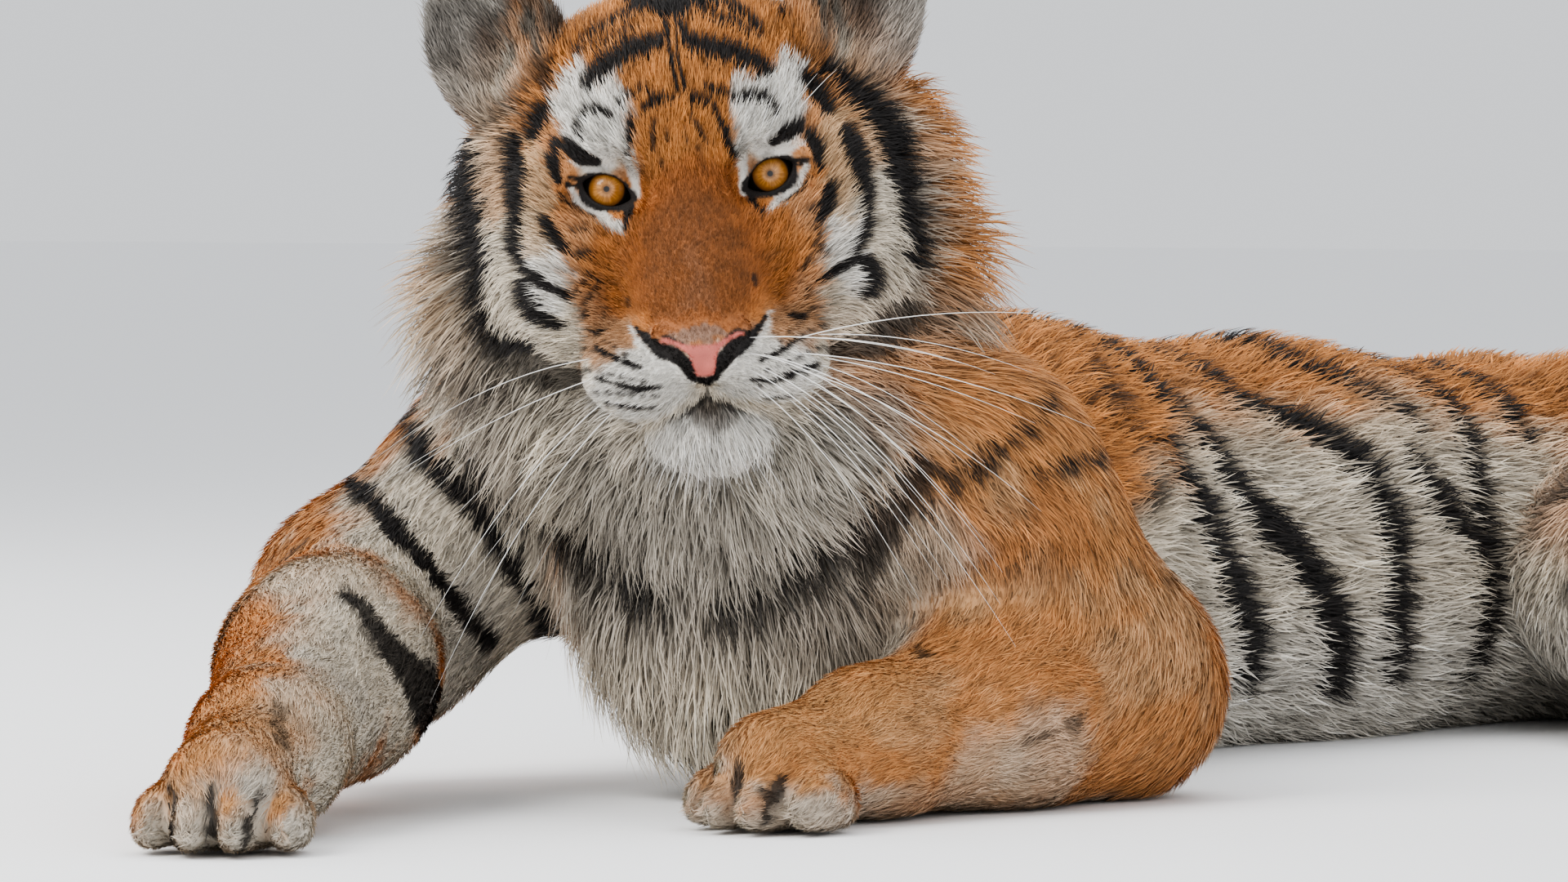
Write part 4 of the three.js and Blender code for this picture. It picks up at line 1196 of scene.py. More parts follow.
# %% Nose pad
def nose_pad(h):
    """The bare pink pad: a stem between the nostrils and two wings over them."""
    out = np.abs(h[:, 0]) * 1.07
    top = np.interp(out, [0, 12, 20, 26, 31, 34], [-123.5, -122.5, -119, -116.4, -116.4, -118.6])
    bottom = np.interp(
        out, [0, 7, 8.5, 9.5, 12, 18, 24, 30, 34],
        [-146.5, -145.5, -141, -134, -129, -124, -120.4, -118.8, -118.6])
    inside = smooth((top - h[:, 2]) / 1.6 + 0.5) * smooth((h[:, 2] - bottom) / 1.6 + 0.5)
    return inside * (out < 34) * (h[:, 1] < -60)


# %% Black on the head and body
def face_black(c):
    fray = 0.9 + 2.2 * (c.fine - 0.5) + 1.6 * (noise(c.p, 3, 0.4) - 0.5)
    behind_crown = smooth((c.h[:, 2] - 112) / 20) * smooth((c.h[:, 1] - 50) / 22)
    in_front = c.part["head"] * smooth((130 - c.h[:, 1]) / 40) * (1 - behind_crown)
    return inked(face_strokes, c.h[:, [0, 2]], fray, 1.6) * smooth(in_front * 2)


def nape_black(c):
    """Bands that cross the head behind the ears."""
    x, y, z = c.h.T
    nape = smooth((y - 66) / 14) * smooth((z + 70) / 60) * c.part["head"]
    bend = np.arctan2(y - 20, z + 60) * 150
    around = np.abs((bend - 0.30 * np.abs(x) + 22 * c.broad + 6 * c.fine) / 46 % 1 - 0.5) * 2
    ends = smooth((96 + 60 * (c.broad - 0.5) - np.abs(x)) / 20)
    return nape * ends * smooth((0.34 - around) * 6 + 0.5)


def body_black(c):
    fray = 5 + 7 * (c.broad - 0.5) + 9 * (c.fine - 0.5)
    return (1 - smooth(c.part["head"] * 1.5)) * inked(body_strokes, c.p, fray, 4.5)


# %% Black on the tail and thighs
TAIL_RING = 62
THIGHS = [((156, 960, 160), (300, 1010, 44)), ((-40, 980, 160), (-170, 1040, 44))]


def tail_black(c):
    """Rings, and a dark tip."""
    black = np.zeros(len(c.p))
    near = np.flatnonzero(c.part["tail"] > 0.02)
    along = tail_along(c.p[near])
    wave = np.abs((along + 10 * c.broad[near]) / TAIL_RING % 1 - 0.5) * 2
    ring = np.maximum(smooth((0.42 - wave) * 5 + 0.5), smooth((along - tail_walk[-1] + 80) / 30))
    black[near] = ring * c.part["tail"][near]
    return black


def thigh_black(c, outer):
    black = np.zeros(len(c.p))
    for k, thigh in enumerate(THIGHS):
        band = rings(c.p, *thigh, 64, 0.34, 0.3 * k) * c.part["hindleg"] * 0.9
        own_side = (c.p[:, 0] > LEGS_PART) == (k == 0)
        black = np.maximum(black, band * smooth(outer * 1.6) * own_side)
    return black


# %% The painter
def painted(p, normal, weight):
    """Colour of the coat at points of the skin, and how black the markings make them."""
    c = Spots(p, normal, weight)
    outer = outer_side(c)
    trunk, leg, face = trunk_colour(c), leg_colour(c, outer), face_colour(c)
    paw = paw_colour(c, leg)
    front = on_face(c.h) * smooth((182 - np.abs(c.h[:, 0])) / 30)
    kinds = {
        "head": mix(ruff_colour(c), face, front), "ear": ear_colour(c), "lid": c.plain(BLACK),
        "nose": face, "neck": neck_colour(c), "trunk": trunk, "foreleg": leg, "forepaw": paw,
        "hindleg": haunch_colour(c, trunk), "hindpaw": paw, "tail": tail_colour(c),
    }
    colour = sum(kinds[kind] * c.part[kind][:, None] for kind in KINDS)
    colour *= (0.86 + 0.28 * noise(p * (1, 0.35, 1), 9, 1.9))[:, None]

    markings = [face_black(c), nape_black(c), body_black(c), tail_black(c), thigh_black(c, outer)]
    pad = nose_pad(c.h)
    gap, bare_rim, _ = eye_gap(c.h)
    by_eye = smooth((60 - c.h[:, 1]) / 20) * smooth(3 * (c.part["head"] + c.part["lid"]))
    eye_rim = smooth((bare_rim + 0.8 * (c.fine - 0.5) - gap) / 1.2 + 0.5) * by_eye
    black = np.maximum(np.max(markings, axis=0) * (1 - pad), eye_rim)
    return mix(mix(colour, BLACK, black), PINK * (0.85 + 0.3 * c.fine)[:, None], pad), black


skin_colour, skin_black = painted(vertices, normals, weight)
print("painted", len(vertices), "points of skin, black share", skin_black.mean().round(3))

# %% [markdown]
# ## Materials
#
# Shader maths is written as Python expressions. A small class wraps a socket, and its operators add
# the Math nodes. Any other node is added by one method: its type, its settings, then its sockets.


# %% Sockets with operators
class Nodes:
    def __init__(self, name):
        self.material = bpy.data.materials.new(name)
        self.material.use_nodes = True
        self.tree = self.material.node_tree
        self.shader = self.tree.nodes["Principled BSDF"]

    def add(self, kind, settings=None, **sockets):
        node = self.tree.nodes.new("ShaderNode" + kind)
        for key, value in (settings or {}).items():
            setattr(node, key, value)
        for key, value in sockets.items():
            self.feed(node.inputs[int(key[1:]) if key[1:].isdigit() else key.replace("_", " ")], value)
        return node

    def feed(self, socket, value):
        if isinstance(value, Value):
            self.tree.links.new(value.socket, socket)
        elif isinstance(value, bpy.types.NodeSocket):
            self.tree.links.new(value, socket)
        else:
            socket.default_value = value

    def finish(self, **sockets):
        for key, value in sockets.items():
            self.feed(self.shader.inputs[key.replace("_", " ")], value)
        return self.material


class Value:
    def __init__(self, nodes, socket):
        self.nodes, self.socket = nodes, socket

    def math(self, operation, *others, swap=False):
        terms = [self, *others]
        if swap:
            terms.reverse()
        node = self.nodes.add("Math", {"operation": operation}, **{f"i{k}": t for k, t in enumerate(terms)})
        return Value(self.nodes, node.outputs[0])

    def __mul__(self, other):
        return self.math("MULTIPLY", other)

    __rmul__ = __mul__

    def __sub__(self, other):
        return self.math("SUBTRACT", other)

    def __rsub__(self, other):
        return self.math("SUBTRACT", other, swap=True)


# %% Coat and skin
def coat_material(name):
    nodes = Nodes(name)
    colour = nodes.add("Attribute", {"attribute_name": "coat_colour"}).outputs["Color"]
    return nodes.finish(Base_Color=colour, Roughness=0.62, Specular_IOR_Level=0.28)


def skin_material():
    nodes = Nodes("skin under the coat")
    colour = nodes.add("Attribute", {"attribute_name": "coat_colour"}).outputs["Color"]
    place = nodes.add("TexCoord").outputs["Object"]
    grain = nodes.add("TexNoise", {"noise_dimensions": "3D"}, Vector=place, Scale=900.0, Detail=3.0)
    bump = nodes.add("Bump", {}, Strength=0.5, Distance=0.0012, Height=grain.outputs[0])
    bare = Value(nodes, nodes.add("Attribute", {"attribute_name": "bare"}).outputs["Fac"])
    return nodes.finish(
        Base_Color=colour, Roughness=0.7 - 0.32 * bare, Normal=bump.outputs[0], Specular_IOR_Level=0.35)


def coloured(piece, name, values):
    """A colour for each vertex."""
    layer = piece.data.color_attributes.new(name, "FLOAT_COLOR", "POINT")
    with_alpha = np.column_stack([values, np.ones(len(values))])
    layer.data.foreach_set("color", with_alpha.astype(np.float32).ravel())


coloured(skin, "coat_colour", skin_colour)
bare = skin.data.attributes.new("bare", "FLOAT", "POINT")
bare_share = weight[:, KINDS.index("nose")] + weight[:, KINDS.index("lid")]
bare.data.foreach_set("value", np.clip(bare_share, 0, 1).astype(np.float32))
skin.data.materials.append(skin_material())

# %% [markdown]
# ## The coat
#
# Every hair is a thin blade: a flat ribbon that rises from the skin, bends over along the lie of the
# coat and runs out to a point. Short hair is one triangle; long hair has several, so that it bends.
# Blades near each other lean to a shared middle, which gathers them into locks. Each piece of the
# coat takes the skin's squares that belong to it.

# %% Sort the skin's squares into pieces of coat
corners = vertices[faces]
face_middle = corners.mean(1)
diagonal = np.cross(corners[:, 2] - corners[:, 0], corners[:, 3] - corners[:, 1])
face_area = np.linalg.norm(diagonal, axis=1) / 2
face_weight = weight[faces].mean(1)
face_kind = face_weight.argmax(1)
face_head = to_head(face_middle)
face_left = face_middle[:, 0] > spine_x(face_middle[:, 1])
is_kind = {kind: face_kind == k for k, kind in enumerate(KINDS)}
in_face = (is_kind["head"] | is_kind["nose"]) & (on_face(face_head) > 0.5) & (hair_length[faces].mean(1) < 26)
in_ruff = is_kind["head"] & ~in_face
on_left_head = face_head[:, 0] > 0
legs = {name: is_kind[name] | is_kind[name.replace("leg", "paw")] for name in ("foreleg", "hindleg")}
left_legs = face_middle[:, 0] > LEGS_PART

PIECES = {
    # name: (its squares, layers, blade width as root and share of length, clump, slot)
    "face_coat_left": (in_face & on_left_head, 3.0, 0.50, 0.024, 4, "orange_coat"),
    "face_coat_right": (in_face & ~on_left_head, 3.0, 0.50, 0.024, 4, "orange_coat"),
    "ruff_coat_left": (in_ruff & on_left_head, 4.0, 0.75, 0.010, 18, "pale_coat"),
    "ruff_coat_right": (in_ruff & ~on_left_head, 4.0, 0.75, 0.010, 18, "pale_coat"),
    "ear_coat": (is_kind["ear"], 2.0, 0.8, 0.010, 6, "orange_coat"),
    "chest_coat": (is_kind["neck"], 4.0, 0.8, 0.011, 24, "pale_coat"),
    "trunk_coat_left": (is_kind["trunk"] & face_left, 2.2, 0.9, 0.020, 15, "orange_coat"),
    "trunk_coat_right": (is_kind["trunk"] & ~face_left, 2.0, 1.3, 0.030, 15, "orange_coat"),
    "foreleg_coat_left": (legs["foreleg"] & left_legs, 2.2, 0.8, 0.014, 9, "orange_coat"),
    "foreleg_coat_right": (legs["foreleg"] & ~left_legs, 1.75, 0.9, 0.014, 9, "orange_coat"),
    "hindleg_coat_left": (legs["hindleg"] & left_legs, 2.0, 1.2, 0.022, 12, "orange_coat"),
    "hindleg_coat_right": (legs["hindleg"] & ~left_legs, 2.0, 1.2, 0.022, 12, "orange_coat"),
    "tail_coat": (is_kind["tail"], 2.2, 1.1, 0.022, 12, "orange_coat"),
}
THIN, WIDEN = ((1.0, 1.0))
print("the head has", in_face.sum(), "squares of face and", in_ruff.sum(), "of ruff")


# %% Roots scattered over the squares
def scatter(chosen, per_mm2):
    """Places, normals and shares at random spots of some squares, so many to the square millimetre."""
    wanted = face_area[chosen] * per_mm2
    count = np.floor(wanted + rng.random(len(chosen))).astype(int)
    square = np.repeat(chosen, count)
    u, v = rng.random((2, len(square), 1))
    ids = faces[square]
    part = [(1 - u) * (1 - v), u * (1 - v), u * v, (1 - u) * v]

    def spread(values):
        return sum(values[ids[:, k]] * (part[k] if values.ndim > 1 else part[k][:, 0]) for k in range(4))

    n = spread(normals)
    n /= np.linalg.norm(n, axis=1, keepdims=True)
    return spread(vertices), n, spread(coat_depth), spread(hair_length), spread(weight), spread(lie)


def clump_middles(p, cell):
    """The nearest of many scattered middles, one to each cell of a cubic lattice."""
    base = np.floor(p / cell).astype(int)
    best, found = np.full(len(p), 1e9), np.zeros_like(p)
    for i in (-1, 0, 1):
        for j in (-1, 0, 1):
            for k in (-1, 0, 1):
                at = base + (i, j, k)
                jitter = np.column_stack([
                    LATTICE[tuple(((at * step + at[:, ::-1] * 3 + 11 * axis) % LATTICE_SIZE).T)]
                    for axis, step in enumerate((1, 5, 7))])
                middle = (at + jitter) * cell
                gap = ((middle - p) ** 2).sum(1)
                nearer = gap < best
                best = np.where(nearer, gap, best)
                found[nearer] = middle[nearer]
    return found


# %% [markdown]
# Each piece has a map for baking. It is the skin's own shape laid out: round the line of a limb and
# along it, or round and up the head. A blade's patch is a small spot at the place of its root.


# %% Laying the skin out flat
HEAD_MIDDLE = (0, 90, -30)
RUN_OF_ROOTS = 801


def running_middle(along, x):
    """The mean of x over the roots on either side, in order along the piece."""
    order = np.argsort(along)
    window = np.ones(RUN_OF_ROOTS) / RUN_OF_ROOTS
    middle = np.empty(len(x))
    middle[order] = np.convolve(x[order], window, "same") / np.convolve(np.ones(len(x)), window, "same")
    return middle


def laid_out(name, p):
    """Places from 0 to 1 on the unrolled skin of a piece."""
    if name.startswith(("face", "ruff", "ear")):
        h = to_head(p) - HEAD_MIDDLE
        u = 0.5 + np.arctan2(h[:, 0], -h[:, 1]) / (2 * np.pi)
        v = 0.5 + np.arcsin(np.clip(h[:, 2] / np.linalg.norm(h, axis=1), -1, 1)) / np.pi
        return 0.01 + 0.98 * np.column_stack([u, v])
    along = p[:, 1] if "trunk" in name or "chest" in name else p[:, 1] - 0.6 * p[:, 2]
    middle_x, middle_z = np.median(p[:, 0]), np.median(p[:, 2])
    if "tail" in name:
        along = tail_along(p)
        middle_x, middle_z = (np.interp(along, tail_walk, tail_fine[:, k]) for k in (0, 2))
    elif "leg" in name:
        middle_x = running_middle(along, p[:, 0])
    u = 0.5 + np.arctan2(p[:, 0] - middle_x, p[:, 2] - middle_z) / (2 * np.pi)
    v = (along - along.min()) / np.ptp(along)
    return 0.01 + 0.98 * np.column_stack([u, v])


# %% [markdown]
# A hair's root gives its place, how long it is, how far it rises and which way it runs. Hair is
# thinned out round the eyes and left off the nose pad. Short hair on the legs lies flatter, and the
# hair behind the ears stands longer.


# %% Where the hairs stand
SHORTEST = 3.5


def sown(chosen, layers, width, taper):
    """Roots, normals, depths, lengths, shares and lies of one piece's hairs."""
    squares = np.flatnonzero(chosen)
    hair = hair_length[faces[squares]].mean(1)
    density = THIN * layers * 2 / (np.maximum(hair, 5) * (width + taper * hair) * WIDEN)
    root, n, depth, length, share, flow = scatter(squares, density)
    h = to_head(root)
    behind_ear = share[:, KINDS.index("ear")] * smooth(-2.4 * (n @ head_axes)[:, 1] - 0.7)
    gap, bare_rim, _ = eye_gap(h)
    length = np.maximum(length + 12 * behind_ear, SHORTEST) * (0.22 + 0.78 * smooth((gap - 14) / 22))
    depth = depth + 5 * behind_ear
    keep = (gap > bare_rim - 0.3) & (nose_pad(h) < 0.3) & (share[:, KINDS.index("lid")] < 0.5)
    return [a[keep] for a in (root, n, depth, length, share, flow)]


# %% How each hair runs, rises and gathers into a lock
ROOT_SUNK = 0.8
TIP_TONE = 1.14


class Hairs:
    """The hairs of one piece of coat."""

    def __init__(self, chosen, layers, width, taper, clump):
        self.root, self.n, depth, length, self.share, flow = sown(chosen, layers, width, taper)
        count = len(self.root)
        tangent = hair_lie(self.root, self.n, self.share, flow)
        turn = (rng.normal(0, 0.16, count) + 0.7 * (noise(self.root, 34, 9.1) - 0.5))[:, None]
        self.tangent = tangent * np.cos(turn) + np.cross(self.n, tangent) * np.sin(turn)
        self.on_leg = self.share[:, KINDS.index("foreleg")] + self.share[:, KINDS.index("forepaw")]
        on_trunk = self.share[:, KINDS.index("trunk")]
        self.length = length * rng.uniform(0.55, 1.15, count) * (1 + 0.15 * self.on_leg)
        rise = np.maximum(depth, 1.0) * rng.uniform(0.2, 1.0, count)
        rise = rise * (1 - 0.6 * self.on_leg + 0.1 * on_trunk)
        self.rise = np.minimum(rise, 0.75 * self.length)
        self.run = np.sqrt(self.length ** 2 - self.rise ** 2)
        self.lock_middle = clump_middles(self.root, clump)
        pull = self.lock_middle - self.root
        pull -= self.n * (pull * self.n).sum(1, keepdims=True)
        self.pull = pull * (rng.uniform(0.2, 0.8, count) * smooth(self.length / clump))[:, None]
        roll = rng.normal(0, 0.35, count)[:, None]
        self.flat = np.cross(self.n, self.tangent) * np.cos(roll) + self.n * np.sin(roll)
        broad = (width + taper * self.length) * WIDEN
        self.half = (broad * rng.uniform(0.6, 1.2, count) / 2)[:, None]
        self.shade()

    def shade(self):
        """Each hair's colour and lightness, its root darker from grey undercoat and painted shade between
        hairs, and if its tip is dark.
        """
        count = len(self.root)
        seen = self.root + self.tangent * (0.5 * self.run)[:, None] + 0.5 * self.pull
        self.colour, _ = painted(seen, self.n, self.share)
        long = smooth((self.length - 14) / 16)
        lock_tone = 1 + long * 1.2 * (noise(self.lock_middle, 7, 2.2) - 0.5)
        tone = 1 + rng.uniform(-0.24, 0.20, count) * (1 - 0.4 * self.on_leg)
        tone *= (0.9 + 0.2 * noise(self.root, 12, 4.4)) * lock_tone
        flecked = np.where(rng.random(count) < 0.16 * self.on_leg, 0.55, 1.0)
        on_ear = self.share[:, KINDS.index("ear")]
        self.tone = tone * (flecked * (1 + on_ear * 0.8 * (noise(self.root, 5, 6.6) - 0.5)))
        # The root is darker than the tip: partly the grey undercoat, partly painted shade between the hairs.
        self.root_undercoat_and_shade = 0.58 - 0.22 * long + 0.22 * self.on_leg * (1 - long)
        self.tipped = smooth((self.length - 32) / 16) * (rng.random(count) < 0.3)

    def spine(self, m, t):
        """Where hairs m have got to at t, from 0 at the root to 1 at the point."""
        sunk = self.root[m] - self.n[m] * ROOT_SUNK * (1 - t)
        risen = sunk + self.n[m] * (self.rise[m] * (1 - (1 - t) ** 2))[:, None]
        ahead = self.run[m] * (0.7 * t + 0.3 * t * t)
        return risen + self.tangent[m] * ahead[:, None] + self.pull[m] * t ** 1.3

    def tint(self, m, t):
        dark = 1 - 0.65 * self.tipped[m] * smooth(np.array(2 * t - 0.9))
        # Each hair lightens from its root's undercoat and painted shade out to its tip.
        light = (self.root_undercoat_and_shade[m] + (TIP_TONE - self.root_undercoat_and_shade[m]) * t) * self.tone[m] * dark
        return light[:, None] * self.colour[m]


# %% Ribbons
MAP_SPOT = 0.0015
# Where a ribbon's corners are along the hair, and the lengths of hair that it is for.
RIBBONS = [((0, 1), 0, 7.5), ((0, 0.5, 1), 7.5, 32), ((0, 0.3, 0.62, 1), 32, math.inf)]


def blade_strip(steps):
    """The triangles of a ribbon with two corners at every step but the last, which is its point."""
    strip = []
    for k in range(len(steps) - 1):
        strip.append((2 * k, 2 * k + 1, 2 * k + 2))
        if k < len(steps) - 2:
            strip.append((2 * k + 1, 2 * k + 3, 2 * k + 2))
    return np.array(strip)


def ribbons(hairs, flat_place):
    """Corners, their colours, their places on the map, and triangles, of a piece's hairs."""
    points, hues, maps, triangles, base = [], [], [], [], 0
    for steps, shortest, longest in RIBBONS:
        m = np.flatnonzero((hairs.length >= shortest) & (hairs.length < longest))
        corners_, tints, spots = [], [], []
        for t in steps:
            middle, half = hairs.spine(m, t), hairs.half[m] * (1 - t ** 2.2)
            for side in (-1, 1) if t < 1 else (0,):
                corners_.append(middle + hairs.flat[m] * half * side)
                tints.append(hairs.tint(m, t))
                spots.append(flat_place[m] + (MAP_SPOT * side, MAP_SPOT * (2 * t - 1)))
        per = len(corners_)
        points.append(np.stack(corners_, 1).reshape(-1, 3))
        hues.append(np.stack(tints, 1).reshape(-1, 3))
        maps.append(np.stack(spots, 1).reshape(-1, 2))
        first = base + np.arange(len(m))[:, None, None] * per
        triangles.append((first + blade_strip(steps)[None]).reshape(-1, 3))
        base += len(m) * per
    return [np.vstack(a) for a in (points, hues, maps, triangles)]


# %% One piece of coat after another
LOWEST = 1.0


def grow(name, *facts):
    """One piece of coat, from its row of the table."""
    *facts, slot_name = facts
    hairs = Hairs(*facts)
    points, hues, maps, triangles = ribbons(hairs, laid_out(name, hairs.root))
    points[:, 2] = np.maximum(points[:, 2], LOWEST)
    piece = mesh_piece(name, points, triangles, smooth=False)
    coloured(piece, "coat_colour", np.clip(hues, 0, 1))
    layer = piece.data.uv_layers.new(name="OFBake")
    layer.data.foreach_set("uv", np.clip(maps, 0, 1)[triangles.ravel()].astype(np.float32).ravel())
    piece.data.materials.append(coat_paint)
    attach(piece, "root")
    facts = f"{len(hairs.root):8d} blades {len(triangles):8d} triangles, hair {hairs.length.mean():.0f} mm"
    print(f"{name:20s}{facts}")
    return len(triangles)


coat_paint = coat_material("coat")
coat_triangles = sum(grow(name, *facts) for name, facts in PIECES.items())
print("coat", coat_triangles, "triangles")

# %% [markdown]
# ## Eyes
#
# Each eye is a finer ball in the place of its solid, with a low bulge in front. Its colours
# are rings round the line of sight: a small dark pupil, an amber iris with fine spokes, a dark edge.

# %% The eyeball's shape
EYE_AROUND, EYE_RINGS = 120, 60
EYE_BULGE = 1.3


def eyeball_mesh():
    """A ball about its own middle, with its rings closest together in front."""
    tilt = np.pi * (np.arange(1, EYE_RINGS) / EYE_RINGS) ** 1.5
    turn = np.arange(EYE_AROUND) / EYE_AROUND * 2 * np.pi
    t, a = np.meshgrid(tilt, turn, indexing="ij")
    r = EYE_RADIUS + EYE_BULGE * np.exp(-((t / 0.52) ** 4))
    places = np.stack([r * np.sin(t) * np.cos(a), -r * np.cos(t), r * np.sin(t) * np.sin(a)], -1)
    places = np.vstack([places.reshape(-1, 3), [0, -EYE_RADIUS - EYE_BULGE, 0], [0, EYE_RADIUS, 0]])
    i, j = np.meshgrid(np.arange(EYE_RINGS - 2), np.arange(EYE_AROUND), indexing="ij")
    here, beside = i * EYE_AROUND + j, i * EYE_AROUND + (j + 1) % EYE_AROUND
    quad = np.stack([here, beside, beside + EYE_AROUND, here + EYE_AROUND], -1).reshape(-1, 4)
    j = np.arange(EYE_AROUND)
    last = (EYE_RINGS - 2) * EYE_AROUND
    front = np.stack([np.full(EYE_AROUND, len(places) - 2), (j + 1) % EYE_AROUND, j], 1)
    back = np.stack([np.full(EYE_AROUND, len(places) - 1), last + j, last + (j + 1) % EYE_AROUND], 1)
    return places, np.vstack([quad[:, [0, 1, 2]], quad[:, [0, 2, 3]], front, back])[:, ::-1]


# %% Colours of the iris and pupil
AMBER, LIGHT_AMBER = np.array([0.36, 0.15, 0.032]), np.array([0.56, 0.26, 0.065])
IRIS_EDGE, ROUND_PUPIL = np.array([0.26, 0.10, 0.02]), np.array([0.16, 0.07, 0.02])
PUPIL_RADIUS = 2.6


def iris_colour(places, side):
    """Amber with spokes, darker round the pupil and at the edge, and painted shade of the upper lid over its
    top.
    """
    out = np.hypot(places[:, 0], places[:, 2])
    spoke = np.arctan2(places[:, 2], places[:, 0])
    rays = noise(np.column_stack([np.cos(spoke) * 14, np.sin(spoke) * 14, out * 0.35 + 40 * side]), 1.0)
    iris = mix(np.tile(AMBER, (len(places), 1)), LIGHT_AMBER, smooth(rays * 1.3 - 0.2))
    iris = mix(iris, IRIS_EDGE, smooth((out - 8.8) / 3.8))
    iris = mix(iris, ROUND_PUPIL, 0.75 * smooth((4.6 - out) / 1.6))
    # Painted shade: the upper lid's shadow darkens the top of the iris.
    iris = iris * (0.72 + 0.28 * smooth((9 - places[:, 2]) / 8))[:, None]
    iris = mix(iris, BLACK, smooth((PUPIL_RADIUS - out) / 0.7))
    iris = mix(iris, BLACK * 0.8, smooth((out - 12.5) / 1.2))
    iris[places[:, 1] > 0] = BLACK
    return iris


# %% Both eyes
def eyeball(side):
    places, triangles = eyeball_mesh()
    name = "eye_" + ("left" if side > 0 else "right")
    own_place = from_head(places + (side * EYE_SPACING / 2, EYE_DEPTH, 0))
    piece = mesh_piece(name + "_ball", own_place, triangles)
    coloured(piece, "coat_colour", iris_colour(places, side))
    piece.data.materials.append(eye_paint)
    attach(piece, "root")
    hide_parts(name)
    return piece


def eye_material():
    nodes = Nodes("eye")
    colour = nodes.add("Attribute", {"attribute_name": "coat_colour"}).outputs["Color"]
    return nodes.finish(Base_Color=colour, Roughness=0.3, Coat_Weight=0.4, Coat_Roughness=0.03)


eye_paint = eye_material()
eyes = [eyeball(1), eyeball(-1)]
print("eyes", sum(len(e.data.polygons) for e in eyes), "triangles")

# %% [markdown]
# ## Whiskers
#
# Stiff white whiskers grow in rows from the pads, sweep sideways and droop. A few finer ones stand
# over the eyes and on the chin.


# %% Whiskers as thin tapering tubes
def on_skin(x, z, start=-170.0):
    """The place where a line straight into the face meets the skin, in the head's frame."""
    y = start
    for _ in range(60):
        d = skin_field(from_head([[x, y, z]]))[0]
        if d < 0.3:
            break
        y += max(0.4, 0.8 * d)
    return np.array([x, y, z])


def whisker(root, heading, length, droop, thick, rows=12, sides=5):
    """Corners and triangles of one tube that starts under the skin and thins to a point."""
    heading = np.asarray(heading, float) / np.linalg.norm(heading)
    t = np.linspace(0, 1, rows)[:, None]
    line = root + heading * length * t + np.array([0, 0.10, -1]) * droop * t ** 2.0 - heading * 3 * (1 - t)
    run = np.gradient(line, axis=0)
    run /= np.linalg.norm(run, axis=1, keepdims=True)
    a = np.cross(run, [0, 0, 1.0])
    a /= np.linalg.norm(a, axis=1, keepdims=True)
    b = np.cross(run, a)
    turn = np.arange(sides) / sides * 2 * np.pi
    r = thick * (1 - t ** 1.5)[:, :, None] + 0.06
    round_ = np.cos(turn)[None, :, None] * a[:, None] + np.sin(turn)[None, :, None] * b[:, None]
    tube = line[:, None] + r * round_
    i, j = np.meshgrid(np.arange(rows - 1), np.arange(sides), indexing="ij")
    p, q = i * sides + j, i * sides + (j + 1) % sides
    walls = [np.stack(three, -1).reshape(-1, 3) for three in ((p, q, q + sides), (p, q + sides, p + sides))]
    ends = [(0, k + 1, k) for k in range(1, sides - 1)]
    last = (rows - 1) * sides
    ends += [(last, last + k, last + k + 1) for k in range(1, sides - 1)]
    return tube.reshape(-1, 3), np.vstack([*walls, ends])


# %% Rows on the pads, brows and chin
WHISKER_ROWS = [(-122, 4), (-132, 5), (-143, 5), (-154, 4)]
whisker_list = []
for side in (1, -1):
    for row, (z, count) in enumerate(WHISKER_ROWS):
        for k in range(count):
            out = k / (count - 1)
            x = side * (34 + 34 * out + rng.uniform(-2, 2))
            root = on_skin(x, z - 3 * out + rng.uniform(-1.5, 1.5))
            rise = 0.14 - 0.30 * row - 0.12 * (1 - out) + rng.uniform(-0.09, 0.09)
            heading = (side, -0.42 + 0.36 * out + rng.uniform(-0.08, 0.08), rise)
            length = rng.uniform(130, 190) + 30 * out
            whisker_list.append(whisker(root, heading, length, rng.uniform(24, 70) + 8 * row, 0.38))
    for k in range(4):
        root = on_skin(side * (56 + 7 * k), 30 + 2 * k)
        heading = (side * (0.35 + 0.16 * k), -0.5, 0.9)
        whisker_list.append(whisker(root, heading, rng.uniform(45, 75), 8, 0.34))
for k in range(12):
    root = on_skin(rng.uniform(-30, 30), rng.uniform(-206, -186))
    heading = (root[0] / 60, -0.6, -0.8)
    whisker_list.append(whisker(root, heading, rng.uniform(28, 50), 4, 0.28))

# %% Whiskers as one piece
whisker_points = from_head(np.vstack([tube for tube, _ in whisker_list]))
first_corners = np.cumsum([0] + [len(tube) for tube, _ in whisker_list])
whisker_faces = np.vstack([faces_ + first for (_, faces_), first in zip(whisker_list, first_corners)])
whiskers = mesh_piece("whiskers", whisker_points, whisker_faces)
whiskers.data.materials.append(Nodes("whisker").finish(Base_Color=(0.86, 0.85, 0.82, 1), Roughness=0.35))
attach(whiskers, "root")
print(len(whisker_list), "whiskers")

# %% [markdown]
# ## Camera, floor and light
#
# The camera stands low and far off, at the height of the tiger's eyes, with a long lens, so the
# near paw isn't swollen. Soft light from above and both sides suits a pale winter coat.

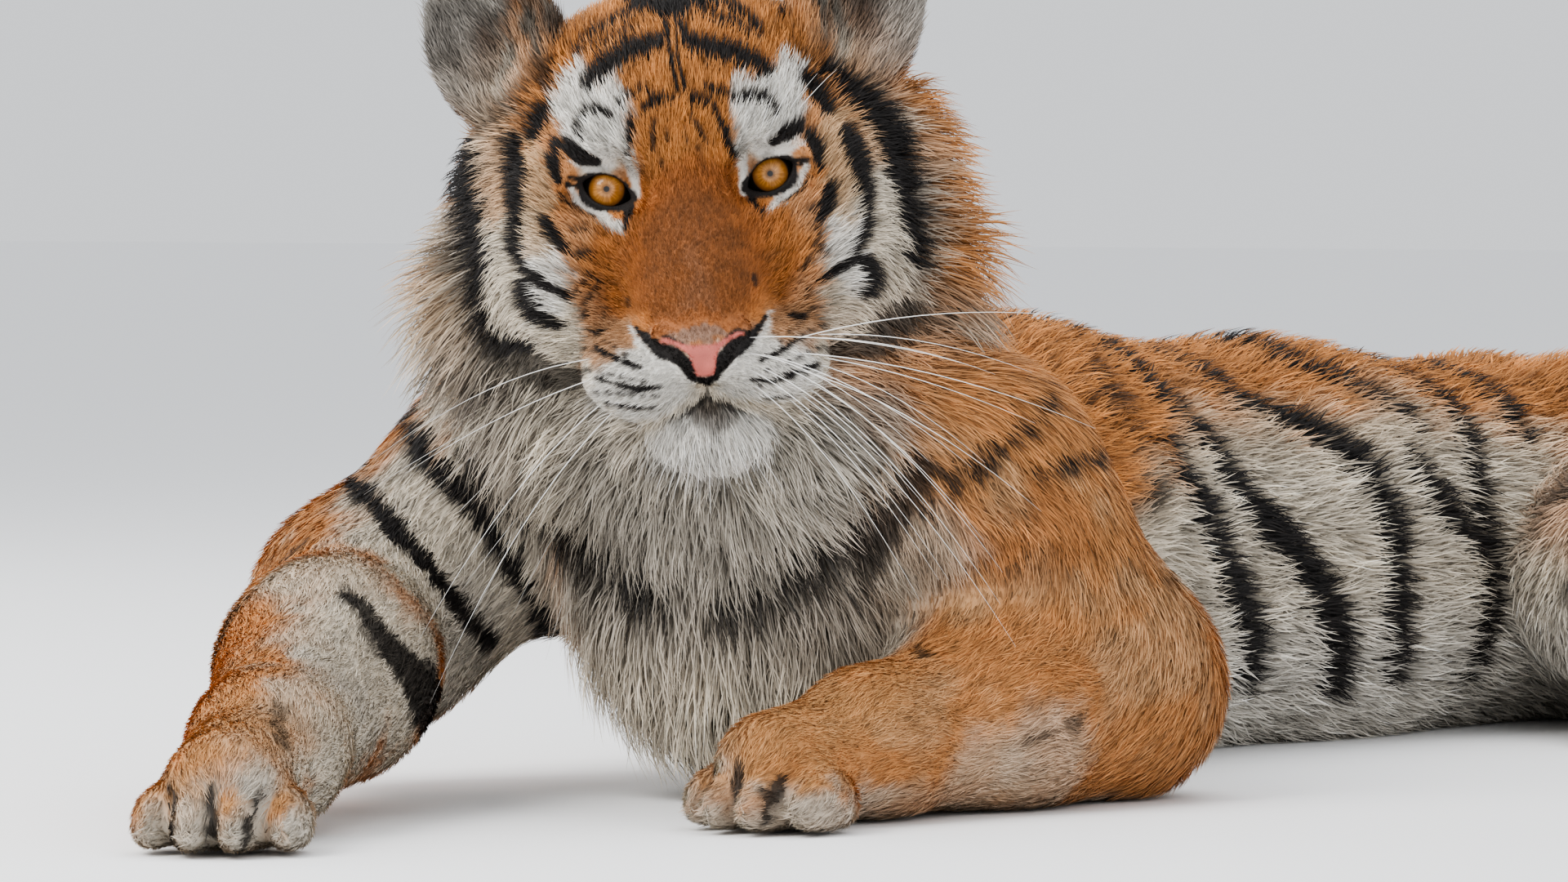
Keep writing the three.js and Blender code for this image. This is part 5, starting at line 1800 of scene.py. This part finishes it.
# %% Camera
CAMERA_TURN, CAMERA_LIFT = math.radians(35), math.radians(2)
DISTANCE = 5.5
STAND_RIGHT, STAND_LOW = 0.071, 0.1927
right = np.array([math.cos(CAMERA_TURN), math.sin(CAMERA_TURN), 0])
ahead = np.array([
    -math.sin(CAMERA_TURN) * math.cos(CAMERA_LIFT),
    math.cos(CAMERA_TURN) * math.cos(CAMERA_LIFT),
    -math.sin(CAMERA_LIFT),
])
up = np.cross(right, ahead)
pupils_middle = to_row(EYES_MIDDLE)
stand = pupils_middle - DISTANCE * ahead + STAND_RIGHT * right - STAND_LOW * up
camera_data = bpy.data.cameras.new("camera")
camera_data.lens = 170
camera_data.clip_end = 200
camera = bpy.data.objects.new("camera", camera_data)
axes = Matrix(np.column_stack([right, up, -ahead]).tolist()).to_4x4()
camera.matrix_world = Matrix.Translation(stand) @ axes
bpy.context.scene.collection.objects.link(camera)
bpy.context.scene.camera = camera
print("camera stands at", stand.round(2), "m")

# %% Floor and lights
FLOOR_HALF = 40
floor_mesh = bpy.data.meshes.new("floor")
floor_corners = [(x * FLOOR_HALF, y * FLOOR_HALF, 0) for x, y in ((-1, -1), (1, -1), (1, 1), (-1, 1))]
floor_mesh.from_pydata(floor_corners, [], [(0, 1, 2, 3)])
floor = bpy.data.objects.new("floor", floor_mesh)
bpy.context.scene.collection.objects.link(floor)
floor_mesh.materials.append(Nodes("pale floor").finish(Base_Color=(0.94, 0.945, 0.952, 1), Roughness=0.9))


def soft_light(name, place, aim, size, watts, colour):
    data = bpy.data.lights.new(name, "AREA")
    data.size, data.energy, data.color = size, watts, colour
    lamp = bpy.data.objects.new(name, data)
    lamp.location = place
    lamp.rotation_euler = (Vector(aim) - Vector(place)).to_track_quat("-Z", "Y").to_euler()
    bpy.context.scene.collection.objects.link(lamp)


aim = tuple(pupils_middle)
soft_light("key", (-1.2, -3.4, 3.4), aim, 2.6, 150, (1.0, 0.98, 0.95))
soft_light("fill", (3.6, -2.2, 2.0), aim, 3.2, 36, (0.95, 0.97, 1.0))
soft_light("top", (0.2, 0.6, 3.8), (0, 0.3, 0.2), 3.0, 50, (1.0, 1.0, 1.0))
soft_light("side", (-4.0, -0.6, 1.8), (0, -0.3, 0.2), 3.0, 55, (1.0, 1.0, 1.0))
world = bpy.data.worlds.new("studio")
world.use_nodes = True
world.node_tree.nodes["Background"].inputs["Color"].default_value = (0.90, 0.92, 0.95, 1)
world.node_tree.nodes["Background"].inputs["Strength"].default_value = 0.9
bpy.context.scene.world = world
bpy.context.scene.view_settings.look = "AgX - Medium High Contrast"

# %% Update the view layer, then the end
bpy.context.view_layer.update()
